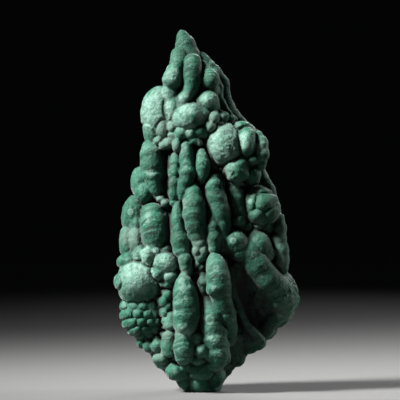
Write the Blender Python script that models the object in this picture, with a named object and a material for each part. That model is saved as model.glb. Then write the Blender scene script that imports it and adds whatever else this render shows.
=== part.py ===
"""A malachite specimen: one grown mass of hanging fingers and rounded lobes, on its broken base.

X runs to the right across the growth, Y runs from its front (-Y) to its back (+Y), Z is up, and
the origin is the middle of the flat base. The tables are in millimetres; the mesh is in metres.
"""
import math

import bmesh
import bpy
from mathutils import Matrix, Vector

MM = 0.001

# driving sizes, millimetres
BASE_HALF_WIDTH = 5.8       # the stump under the growth, where it broke off
STUMP_TOP_RADIUS = 7.4
STUMP_TOP_Z = 9.0
STUMP_DEPTH = 12.0          # how far the stump runs back from its front ball
STUMP_FRONT_Y = -5.0
STUMP_X = -1.0
SCAR_Y = 17.6               # the plane of the old break at the back
SCAR_TILT_DEG = -1.5
VOXEL = 0.95                # grain of the joined skin
DECIMATE_RATIO = 0.105      # share of the skin's faces that is kept
CUTTER_SIDE = 200.0
WEB_RATIO = 1.5             # how far a finger's root runs back, in radii
WEB_EXTRA = 4.0
LOBE_WEB = 5.0              # and how far a front lobe's root runs back
BODY_SKIN = 0.9             # mean rise of the small growth over the body
LOBE_DEPTH_RATIO = 1.15     # a lobe's depth over the mean of its width and height
BALL_RINGS = 2              # icosphere subdivisions

# the body behind the fingers: x, y, z, half width, half depth, half height
BODY = [
    (-6.0, 3.5, 120.0, 11.5, 8.5, 13.0), (0.0, 4.0, 106.0, 13.5, 10.0, 12.0),
    (-8.0, 4.0, 104.0, 16.0, 11.0, 14.0), (-1.0, 4.5, 90.0, 22.0, 13.5, 18.0),
    (-1.0, 4.5, 70.0, 28.0, 14.0, 21.0), (-4.0, 4.5, 50.0, 27.0, 14.5, 21.0),
    (14.0, 6.5, 54.0, 16.0, 11.0, 13.0), (-7.0, 4.5, 34.0, 24.0, 14.5, 20.0),
    (16.0, 10.0, 36.0, 17.0, 7.5, 15.0), (-3.0, 3.0, 20.0, 20.0, 13.0, 15.0),
    (15.0, 3.0, 22.0, 9.5, 8.0, 6.5),
]

# each finger is a chain of balls from its top down: x, y, z, radius; a web roots it in the body
FINGERS = {
    "crown_left": [(-10.8, -4, 134.3, 2.9), (-10.9, -6, 131.0, 3.1), (-11.8, -7, 128.4, 2.9)],
    "crown_bulge": [(-12.7, -7.5, 126.4, 3.3), (-13.4, -8, 124.2, 3.8)],
    "crown_neck": [(-14.0, -6.5, 121.0, 3.0), (-14.3, -6, 116.6, 3.7)],
    "crown_right": [(-5.2, -7, 131.4, 3.3), (-5.4, -8, 127.6, 3.4), (-5.8, -8.5, 124.0, 3.2),
                    (-6.8, -9, 120.4, 2.6), (-8.6, -9, 117.0, 2.8), (-9.6, -9, 114.0, 2.6)],
    "pear": [(-0.4, -6, 129.0, 1.2), (1.6, -7.5, 124.0, 3.7)],
    "ball_strip": [(20.6, -8.6, 101.6, 1.7), (22.2, -9.6, 98.6, 2.4), (22.7, -9.8, 94.8, 2.6),
                   (22.2, -9.2, 90.6, 2.2)],
    "ball_left": [(2.0, -9.4, 95.6, 1.4), (1.4, -10, 92.4, 1.9), (2.2, -10, 88.8, 1.7)],
    "stump_left": [(-22.6, -5.5, 96.6, 3.4), (-21.8, -6.3, 94.2, 4.3), (-21.4, -6.6, 90.4, 4.7)],
    "stump_skirt": [(-20.9, -6.0, 85.8, 4.0), (-20.6, -6.8, 83.4, 3.0), (-20.0, -7, 80.4, 2.1),
                    (-19.8, -7, 77.6, 1.1)],
    "reed_left": [(-12.0, -11, 94.0, 1.4), (-12.4, -12, 90.8, 1.9), (-12.6, -12.8, 87.2, 2.1),
                  (-12.5, -13, 83.2, 2.0), (-12.5, -13, 79.2, 2.0), (-12.8, -13, 75.2, 1.7)],
    "reed_middle": [(-7.8, -13, 97.2, 2.3), (-7.6, -13.5, 93.6, 2.6), (-7.6, -14, 90.8, 2.4),
                    (-7.5, -14.5, 87.6, 2.9), (-7.8, -14.8, 84.4, 2.6), (-8.6, -14.6, 80.8, 2.2),
                    (-9.2, -14, 77.2, 1.7)],
    "reed_right": [(-1.7, -12.5, 95.8, 1.1), (-1.7, -13.6, 93.6, 1.8), (-1.6, -14.2, 90.8, 2.5),
                   (-1.6, -14.2, 88.4, 2.6), (-1.6, -14, 86.0, 2.1), (-1.7, -13.5, 83.2, 1.2)],
    "long_right": [(2.8, -13.6, 84.2, 2.1), (3.2, -14.2, 81.4, 3.1), (4.2, -14.4, 76.6, 3.9),
                   (5.0, -14.4, 71.4, 4.3), (5.6, -14, 66.4, 4.2), (6.2, -13.6, 62.6, 3.8),
                   (6.2, -13, 58.0, 3.2)],
    "long_right_low": [(2.2, -16.6, 68.8, 1.6), (2.5, -17.2, 65.8, 2.3), (3.1, -17.4, 62.0, 2.7),
                       (3.4, -17, 57.4, 2.2)],
    "middle_lump": [(9.6, -12.4, 62.2, 3.4), (11.4, -13.2, 59.6, 4.8), (13.4, -13.0, 56.2, 4.2)],
    "second_lump": [(18.4, -8.8, 61.2, 3.6), (20.6, -9.6, 58.0, 4.9), (22.6, -9.2, 54.6, 4.4)],
    "outer_strip": [(29.2, -5, 68.6, 2.0), (29.4, -6, 64.6, 2.3), (29.0, -7, 60.6, 2.6),
                    (29.6, -7, 56.0, 3.0), (30.2, -6.5, 51.6, 2.6), (31.0, -5, 47.4, 1.5)],
    "shadow_reed": [(11.4, -8, 80.0, 3.0), (11.8, -9, 75.6, 3.2), (12.4, -9.6, 71.0, 3.2),
                    (13.2, -9.4, 66.4, 3.0)],
    "long_middle": [(-4.8, -14.6, 82.0, 1.7), (-4.7, -15.8, 79.0, 2.9), (-4.7, -16.8, 75.0, 4.0),
                    (-4.7, -17, 70.6, 4.2), (-4.1, -16.8, 66.8, 3.9), (-3.5, -16.2, 63.4, 3.5),
                    (-2.9, -15.2, 60.6, 2.8)],
    "long_left": [(-11.2, -13.5, 75.0, 1.4), (-11.5, -14.5, 71.6, 1.9), (-11.2, -14.8, 68.4, 2.4),
                  (-10.8, -15, 64.4, 2.5), (-10.0, -15.5, 60.4, 3.4), (-9.6, -15.5, 57.0, 3.2)],
    "long_left_low": [(-8.4, -16.2, 56.0, 1.8), (-8.2, -16.9, 53.2, 2.4), (-8.0, -16.6, 50.4, 2.3),
                      (-7.4, -16, 47.8, 2.3)],
    "stub": [(-21.4, -8, 70.8, 4.2), (-20.9, -9.5, 66.6, 5.0), (-20.4, -10, 62.4, 5.2),
             (-20.2, -10, 59.6, 4.6)],
    "front_finger": [(-8.8, -16.5, 45.8, 2.5), (-8.8, -18, 43.2, 3.5), (-8.4, -19, 39.6, 4.4),
                     (-8.0, -19.3, 35.6, 4.8), (-7.9, -19.3, 31.4, 5.0), (-8.3, -18.9, 27.6, 4.7),
                     (-8.8, -18.4, 24.8, 4.0)],
    "front_low": [(-9.0, -19, 21.8, 3.7), (-9.0, -19, 18.0, 4.1), (-8.7, -18, 15.2, 3.9)],
    "front_side": [(-13.8, -15, 30.4, 1.6), (-14.4, -15, 26.4, 2.5)],
    "front_side_low": [(-14.8, -15, 21.8, 2.6), (-14.8, -14, 16.8, 2.8)],
    "sliver": [(-1.2, -16.5, 46.6, 1.2), (-1.0, -17.5, 43.6, 1.9), (-0.8, -17, 39.6, 1.2)],
    "front_right": [(-0.2, -15.5, 38.8, 1.6), (0.9, -17, 34.8, 2.8), (2.3, -18.5, 30.2, 3.9),
                    (2.9, -18.6, 26.0, 3.9), (3.7, -18.4, 21.6, 4.2), (4.9, -17.4, 16.6, 4.0),
                    (4.6, -15.4, 12.2, 3.3)],
    "leaning": [(3.6, -17, 54.6, 1.9), (3.8, -18.6, 52.0, 3.3), (4.4, -20, 49.2, 4.2),
                (5.0, -20.5, 46.0, 4.6), (5.5, -20, 42.4, 4.7), (6.6, -19, 36.6, 3.8),
                (8.6, -17.5, 31.2, 3.0), (9.6, -15.5, 25.6, 2.7)],
    "keel": [(9.8, -13, 49.0, 1.4), (10.8, -13, 40.0, 1.2), (13.2, -12, 32.4, 1.1),
             (17.2, -10, 25.2, 1.3), (21.6, -7, 20.2, 2.0)],
    "tilted": [(14.8, -11.6, 58.6, 3.4), (17.0, -12.2, 55.4, 4.5), (20.2, -11.6, 50.8, 4.9),
               (24.2, -9.8, 45.6, 4.9), (28.3, -7.2, 41.4, 4.9)],
}
# the wing is part of the body: its ridge's balls, from the upper left round the tip to the lower edge
WING = [(14.6, -8.5, 55.6, 3.4), (19.3, -8.5, 50.2, 4.4), (23.7, -7.5, 45.0, 4.6), (28.1, -5.5, 41.2, 4.9),
        (31.4, -4.0, 37.6, 5.0), (29.9, -1.5, 31.6, 3.8), (26.4, 0.0, 28.0, 3.0), (22.6, 1.0, 23.8, 2.2)]
WING_BACK = 6.0
# and its face slopes from those down into the hollow
WING_FACE = [
    ((14.6, -9.0, 52.8, 4.0), (10.0, -6.5, 43.0, 4.0)), ((19.0, -8.0, 50.0, 4.2), (13.0, -2, 38.5, 4.0)),
    ((23.7, -6.5, 45.0, 4.4), (17.0, 1, 32.5, 4.0)), ((28.1, -5.0, 41.2, 4.4), (21.0, 2.0, 30.0, 3.6)),
    ((31.0, -3.5, 37.6, 4.6), (25.0, 2.0, 28.5, 3.2)),
]
# chains that lie on the body with no web: the tip, the crust's edges on the right, the ribs behind
BARE_FINGERS = {
    "apex": [(-10.0, 0, 143.5, 0.7), (-9.2, 0, 141.4, 2.2), (-8.0, 0, 138.0, 3.9), (-7.2, 0, 133.5, 5.0),
             (-6.4, 1, 127.5, 6.6), (-6.0, 2, 120.0, 8.0)],
    "rim": [(-1.6, 0, 133.6, 1.8), (4.0, 1, 127.2, 2.2), (6.4, 2, 123.2, 2.6), (7.0, 2, 117.0, 2.6),
            (11.4, 2, 109.2, 2.6), (18.0, 1, 102.4, 2.6)],
    "inner_rim": [(-1.2, -3, 131.0, 1.0), (4.0, -2, 126.2, 1.3), (5.2, -3, 121.0, 1.4),
                  (5.2, -4, 117.0, 1.4), (8.2, -4, 111.6, 1.4), (11.2, -4, 108.6, 1.4)],
    "outer_rim": [(21.8, -2, 87.4, 2.0), (25.4, -3, 80.4, 2.4), (27.2, -3.5, 72.0, 2.6)],
    "back_first": [(-9.0, 7, 128.0, 2.6), (-12.0, 10, 118.0, 4.0), (-14.0, 12, 108.0, 4.8),
                   (-14.0, 13, 97.0, 4.2)],
    "back_second": [(-3.0, 9, 122.0, 2.8), (-3.0, 11, 113.0, 3.8), (-2.0, 12, 103.0, 4.6),
                    (-1.0, 13, 92.0, 4.0)],
    "back_third": [(5.0, 9, 112.0, 2.8), (8.0, 11, 103.0, 4.2), (11.0, 12, 94.0, 4.6),
                   (12.0, 12, 84.0, 3.8)],
    "back_left": [(-20.0, 7, 98.0, 3.4), (-21.0, 9, 88.0, 4.6), (-22.0, 10, 78.0, 4.4),
                  (-24.0, 10, 70.0, 3.8)],
    "back_right": [(19.0, 6, 92.0, 3.2), (21.0, 8, 83.0, 4.4), (22.0, 9, 74.0, 4.8),
                   (24.0, 9, 66.0, 3.8)],
}

# each lobe: x, y, z, half width, half height
LOBES = [
    # crown
    (0.4, -7.5, 115.2, 4.5, 4.7), (-1.6, -10.2, 110.0, 2.8, 3.4), (-6.4, -9.0, 109.2, 6.8, 6.2),
    (2.2, -5, 120.0, 3.0, 3.2), (-9.8, -10.6, 102.6, 3.0, 3.0), (-6.0, -11.0, 102.4, 2.8, 3.0),
    (-2.0, -11.2, 103.4, 3.2, 2.5), (-4.4, -11, 99.8, 2.8, 2.0), (-12.4, -8.5, 101.6, 2.6, 3.0),
    # on the upper right ball
    (7.2, -8.2, 97.8, 6.8, 8.8), (16.4, -10.0, 99.0, 3.6, 5.8), (14.4, -7.6, 105.6, 3.0, 1.9),
    (12.0, -10.6, 88.0, 5.0, 4.9), (18.6, -8.0, 86.4, 3.4, 3.8), (19.0, -10.4, 92.4, 2.4, 2.2),
    (12.2, -8.6, 82.8, 3.0, 1.8), (13.8, -13.0, 90.4, 2.4, 2.4), (14.8, -12.6, 86.2, 2.2, 2.2),
    (10.6, -13.2, 85.6, 2.4, 2.2),
    # left shoulder
    (-17.4, -6.2, 105.2, 2.9, 5.0), (-13.2, -5, 112.4, 4.8, 6.6), (-21.4, -3.4, 103.2, 3.7, 5.4),
    # dusty lumps in the recesses
    (3.0, -11, 108.6, 2.4, 2.3), (2.0, -12, 105.4, 2.2, 2.2), (6.6, -8, 108.8, 2.6, 2.4),
    (5.4, -10, 105.6, 2.0, 2.0), (10.2, -7, 108.6, 1.5, 1.4), (-19.2, -8, 99.6, 1.8, 1.8),
    (-17.0, -9.5, 97.7, 1.8, 1.8), (-14.8, -10.5, 98.6, 2.5, 2.1), (-11.4, -12, 98.0, 2.0, 2.8),
    (-13.4, -10, 105.4, 1.7, 2.1), (-2.6, -12, 98.8, 1.4, 1.4), (-16.4, -9, 74.8, 1.9, 1.9),
    (-18.2, -8, 76.6, 1.7, 1.6), (-21.0, -6.4, 86.4, 4.9, 3.0),
    # left flank
    (-26.2, -2, 83.4, 3.5, 5.8), (-24.4, -4.5, 79.2, 3.7, 4.6), (-28.6, 0, 70.0, 5.4, 7.2),
    (-31.6, -2, 58.8, 3.0, 6.6), (-27.8, -5, 60.0, 3.2, 6.0), (-27.4, -3.5, 66.4, 3.4, 4.8),
    # right flank, upper
    (12.8, -11.6, 68.4, 2.6, 2.5), (20.2, -9, 65.6, 1.7, 1.5), (23.6, -6, 65.2, 3.2, 2.6),
    (27.6, -2, 65.4, 3.2, 4.4), (15.6, -9, 65.4, 2.4, 2.6),
    # the lump under the middle finger
    (-2.4, -15.6, 60.0, 3.5, 3.2), (-0.8, -16.4, 57.0, 2.1, 2.8), (-3.9, -16.2, 56.6, 2.0, 2.6),
    (-2.4, -15.8, 54.0, 2.4, 2.4), (-0.6, -15.8, 54.0, 1.6, 1.8), (-3.2, -15.6, 51.4, 1.7, 2.0),
    (-1.7, -15.4, 49.8, 1.6, 2.0), (-2.8, -14.8, 47.4, 1.4, 1.7),
    # beside the front finger
    (-15.2, -13.5, 38.4, 2.2, 2.4), (-16.6, -13.5, 36.0, 2.0, 2.4), (-15.2, -13.5, 34.2, 1.8, 2.0),
    (-16.6, -13.5, 31.6, 1.7, 2.0), (-16.0, -13.5, 28.4, 1.6, 1.8),
    # on the wing
    (32.8, -7.6, 35.8, 1.9, 1.8), (28.4, -5.8, 34.0, 2.1, 2.1), (32.0, -7.8, 41.0, 1.9, 1.8),
    (34.0, -6.2, 38.4, 1.8, 1.8), (29.6, -3.8, 29.2, 2.0, 1.8), (30.6, -7.2, 38.6, 1.7, 1.6),
    # right flank, lower
    (25.6, -3.5, 53.0, 2.8, 3.4), (9.0, -11, 24.0, 3.0, 6.0),
    # lower left ball
    (-26.4, -9.5, 54.6, 2.9, 3.4), (-22.8, -12.5, 54.4, 3.0, 3.6), (-19.4, -12, 56.0, 2.5, 2.6),
    (-16.2, -11, 56.2, 3.2, 2.8), (-15.8, -14, 51.4, 4.6, 4.5), (-18.8, -15, 47.6, 2.3, 2.3),
    (-14.2, -15, 46.4, 3.0, 3.0), (-14.8, -14, 43.4, 2.4, 2.4), (-12.0, -12, 53.2, 2.4, 2.6),
    (-31.2, -6, 51.6, 4.4, 3.4), (-35.0, -5, 44.0, 1.6, 2.4), (-25.6, -5, 19.4, 2.0, 2.4),
    (-22.4, -7.5, 18.2, 2.3, 2.5), (-19.0, -9.5, 18.4, 2.7, 2.6),
    # on the front fingers
    (-9.2, -20.4, 26.4, 3.4, 3.2), (3.2, -21.8, 41.6, 3.0, 3.0), (-4.6, -16.4, 26.6, 2.1, 3.4),
    (6.4, -18.6, 24.0, 2.0, 2.6), (1.0, -18.6, 21.8, 2.2, 2.6), (6.8, -17, 19.0, 2.4, 3.2),
    (1.6, -17.8, 15.6, 2.2, 2.8), (7.6, -14.6, 14.6, 2.2, 3.4),
    # bottom
    (-3.8, -17, 21.7, 3.3, 3.5), (-1.6, -18, 17.2, 3.1, 3.2), (-3.2, -16, 13.2, 2.7, 2.4),
    (3.4, -14, 11.0, 3.4, 2.8), (-11.8, -11, 8.3, 4.6, 3.7), (-2.2, -12, 8.8, 4.5, 4.5),
    (-17.6, -10, 13.4, 3.6, 2.5), (-7.6, -13, 10.4, 2.6, 2.4), (-2.6, -9.5, 3.2, 3.8, 3.8),
    (-8.4, -7.5, 3.6, 3.0, 2.8), (4.4, -8, 5.4, 3.0, 3.8),
    # back
    (-25, 8, 56, 7.5, 8.5), (24, 8, 52, 7.0, 8.0), (-10, 12, 78, 5.5, 6.0), (3, 12, 76, 6.0, 5.5),
    (-26, 6, 38, 6.5, 7.5), (22, 8, 35, 7.0, 7.5), (-17, 10, 23, 6.0, 5.5), (11, 8, 22, 5.5, 5.5),
    (-6, 11, 14, 6.0, 6.0), (5, 10, 12, 5.0, 5.5), (14, 13, 64, 5.5, 5.5), (-15, 13, 66, 5.0, 5.5),
    (-19, 12, 46, 5.0, 5.5), (17, 13, 44, 5.0, 5.5), (2, 8, 124, 4.0, 4.6),
]
# the balls: x, y, z, half width, half depth, half height
BALLS = {
    "upper_right": (12.2, -4.6, 94.2, 12.4, 7.8, 13.0),
    "left_shoulder": (-18.2, -3.0, 109.8, 8.0, 7.5, 11.6),
    "right_flank": (22.2, -6.6, 73.4, 7.3, 7.2, 7.8),
    "lower_left": (-27.0, -7.0, 43.6, 9.2, 9.2, 9.0),
    "scales": (-25.0, -5.0, 30.6, 9.6, 8.6, 9.8),
}

MALACHITE_GREEN = (0.055, 0.235, 0.145, 1.0)
MALACHITE_ROUGHNESS = 0.72


def clear_scene():
    for item in list(bpy.data.objects):
        bpy.data.objects.remove(item, do_unlink=True)


def malachite():
    material = bpy.data.materials.new("malachite")
    material.use_nodes = True
    shader = material.node_tree.nodes["Principled BSDF"]
    shader.inputs["Base Color"].default_value = MALACHITE_GREEN
    shader.inputs["Roughness"].default_value = MALACHITE_ROUGHNESS
    shader.inputs["Metallic"].default_value = 0.0
    return material


def add_lobe(mesh, centre, radii):
    """a rounded lobe: an icosphere stretched to its three radii"""
    place = Matrix.Translation(Vector(centre) * MM)
    stretch = Matrix.Diagonal((*(Vector(radii) * MM), 1.0))
    bmesh.ops.create_icosphere(mesh, subdivisions=BALL_RINGS + 1, radius=1.0, matrix=place @ stretch)


def add_hull(mesh, points):
    """the convex skin round some points"""
    made = [mesh.verts.new(point) for point in points]
    hull = bmesh.ops.convex_hull(mesh, input=made)
    inner = [item for item in hull["geom_interior"] if isinstance(item, bmesh.types.BMVert)]
    bmesh.ops.delete(mesh, geom=inner, context="VERTS")


def add_rooted_lobe(mesh, centre, radii):
    """a lobe carried straight back to the body"""
    ball = bmesh.new()
    add_lobe(ball, centre, radii)
    front = [vertex.co.copy() for vertex in ball.verts]
    ball.free()
    root = Vector((0.0, LOBE_WEB * MM, 0.0))
    add_hull(mesh, front + [point + root for point in front])


def ball_points(centre, radius):
    ball = bmesh.new()
    bmesh.ops.create_icosphere(ball, subdivisions=BALL_RINGS, radius=radius * MM)
    points = [vertex.co + Vector(centre) * MM for vertex in ball.verts]
    ball.free()
    return points


def add_link(mesh, upper, lower, web):
    """the skin round two balls of a chain, drawn back by the web that roots it in the body"""
    points = []
    for x, y, z, radius in (upper, lower):
        points += ball_points((x, y, z), radius)
        if web:
            points += ball_points((x, y + web, z), radius)
    add_hull(mesh, points)


def add_finger(mesh, chain, rooted):
    for upper, lower in zip(chain[:-1], chain[1:]):
        web = WEB_RATIO * max(upper[3], lower[3]) + WEB_EXTRA if rooted else 0.0
        add_link(mesh, upper, lower, web)


def cutter(name, centre, tilt_deg):
    """a block whose face does the cutting"""
    bpy.ops.mesh.primitive_cube_add(size=CUTTER_SIDE * MM, location=Vector(centre) * MM)
    block = bpy.context.object
    block.name = name
    block.rotation_euler = (math.radians(tilt_deg), 0.0, 0.0)
    block.hide_render = True
    block.display_type = "WIRE"
    return block


def cut(piece, name, block):
    step = piece.modifiers.new(name, "BOOLEAN")
    step.operation = "DIFFERENCE"
    step.solver = "EXACT"
    step.object = block


def grow():
    """all the lobes and fingers, overlapping, in one mesh"""
    mesh = bmesh.new()
    for x, y, z, half_width, half_depth, half_height in BODY:
        radii = (half_width + BODY_SKIN, half_depth + BODY_SKIN, half_height + BODY_SKIN)
        add_lobe(mesh, (x, y, z), radii)
    for upper, lower in zip(WING[:-1], WING[1:]):
        add_link(mesh, upper, lower, WING_BACK)
    for upper, lower in WING_FACE:
        add_link(mesh, upper, lower, WING_BACK)
    for chain in FINGERS.values():
        add_finger(mesh, chain, rooted=True)
    for chain in BARE_FINGERS.values():
        add_finger(mesh, chain, rooted=False)
    for x, y, z, half_width, half_height in LOBES:
        half_depth = LOBE_DEPTH_RATIO * 0.5 * (half_width + half_height)
        if y < -1.0:
            add_rooted_lobe(mesh, (x, y, z), (half_width, half_depth, half_height))
        else:
            add_lobe(mesh, (x, y, z), (half_width, half_depth, half_height))
    for x, y, z, half_width, half_depth, half_height in BALLS.values():
        add_lobe(mesh, (x, y, z), (half_width, half_depth, half_height))
    stump_top = (STUMP_X, STUMP_FRONT_Y, STUMP_TOP_Z, STUMP_TOP_RADIUS)
    stump_foot = (STUMP_X, STUMP_FRONT_Y, -BASE_HALF_WIDTH, BASE_HALF_WIDTH)
    add_link(mesh, stump_top, stump_foot, STUMP_DEPTH)
    bmesh.ops.recalc_face_normals(mesh, faces=mesh.faces)
    return mesh


def main():
    clear_scene()
    skin = bpy.data.meshes.new("specimen")
    grown = grow()
    grown.to_mesh(skin)
    grown.free()
    specimen = bpy.data.objects.new("specimen", skin)
    bpy.context.scene.collection.objects.link(specimen)
    specimen.data.materials.append(malachite())

    joined = specimen.modifiers.new("joined skin", "REMESH")
    joined.mode = "VOXEL"
    joined.voxel_size = VOXEL * MM
    joined.use_smooth_shade = True
    coarse = specimen.modifiers.new("coarse facets", "DECIMATE")
    coarse.ratio = DECIMATE_RATIO

    half = 0.5 * CUTTER_SIDE
    cut(specimen, "broken base", cutter("base_cutter", (0.0, 0.0, -half), 0.0))
    cut(specimen, "back scar", cutter("scar_cutter", (0.0, SCAR_Y + half, 50.0), SCAR_TILT_DEG))


main()
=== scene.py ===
"""A malachite specimen: one grown mass of hanging fingers, balls and rounded lobes.

X runs to the right across the growth, Y from its front (-Y) to its back, Z up from its flat base.
The tables and the growth's own functions are in millimetres; Blender's objects are in metres.
"""
import math

import bpy
import numpy as np
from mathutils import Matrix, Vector


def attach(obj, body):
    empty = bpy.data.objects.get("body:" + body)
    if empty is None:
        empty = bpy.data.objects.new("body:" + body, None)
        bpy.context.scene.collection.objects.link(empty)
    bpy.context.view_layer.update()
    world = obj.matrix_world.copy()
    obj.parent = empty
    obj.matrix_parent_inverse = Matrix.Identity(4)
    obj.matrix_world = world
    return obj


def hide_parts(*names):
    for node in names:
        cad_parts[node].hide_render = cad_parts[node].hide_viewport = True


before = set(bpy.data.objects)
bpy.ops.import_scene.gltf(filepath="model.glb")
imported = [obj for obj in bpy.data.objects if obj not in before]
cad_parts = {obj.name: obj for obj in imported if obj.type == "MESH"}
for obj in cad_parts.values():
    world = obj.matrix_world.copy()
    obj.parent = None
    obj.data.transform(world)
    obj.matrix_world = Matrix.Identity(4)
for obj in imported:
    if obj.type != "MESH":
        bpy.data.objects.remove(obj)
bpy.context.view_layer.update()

MM = 0.001
SEED = 41

# ------------------------ the growth's features

# the body behind the fingers: x, y, z, half width, half depth, half height
BODY = [
    (-6, 3.5, 120, 11.5, 8.5, 13), (0, 4, 106, 13.5, 10, 12), (-8, 4, 104, 16, 11, 14),
    (-1, 4.5, 90, 22, 13.5, 18), (-1, 4.5, 70, 28, 14, 21), (-4, 4.5, 50, 27, 14.5, 21),
    (14, 6.5, 54, 16, 11, 13), (-7, 4.5, 34, 24, 14.5, 20), (16, 10, 36, 17, 7.5, 15),
    (-3, 3, 20, 20, 13, 15), (15, 3, 22, 9.5, 8, 6.5),
]
STUMP = ((-1.0, -5.0, 9.0, 7.2), (-1.0, -5.0, -5.8, 5.8))
STUMP_DEPTH = 12.0
INSIDE = BODY[4][:3]  # a point well inside the stone

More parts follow.
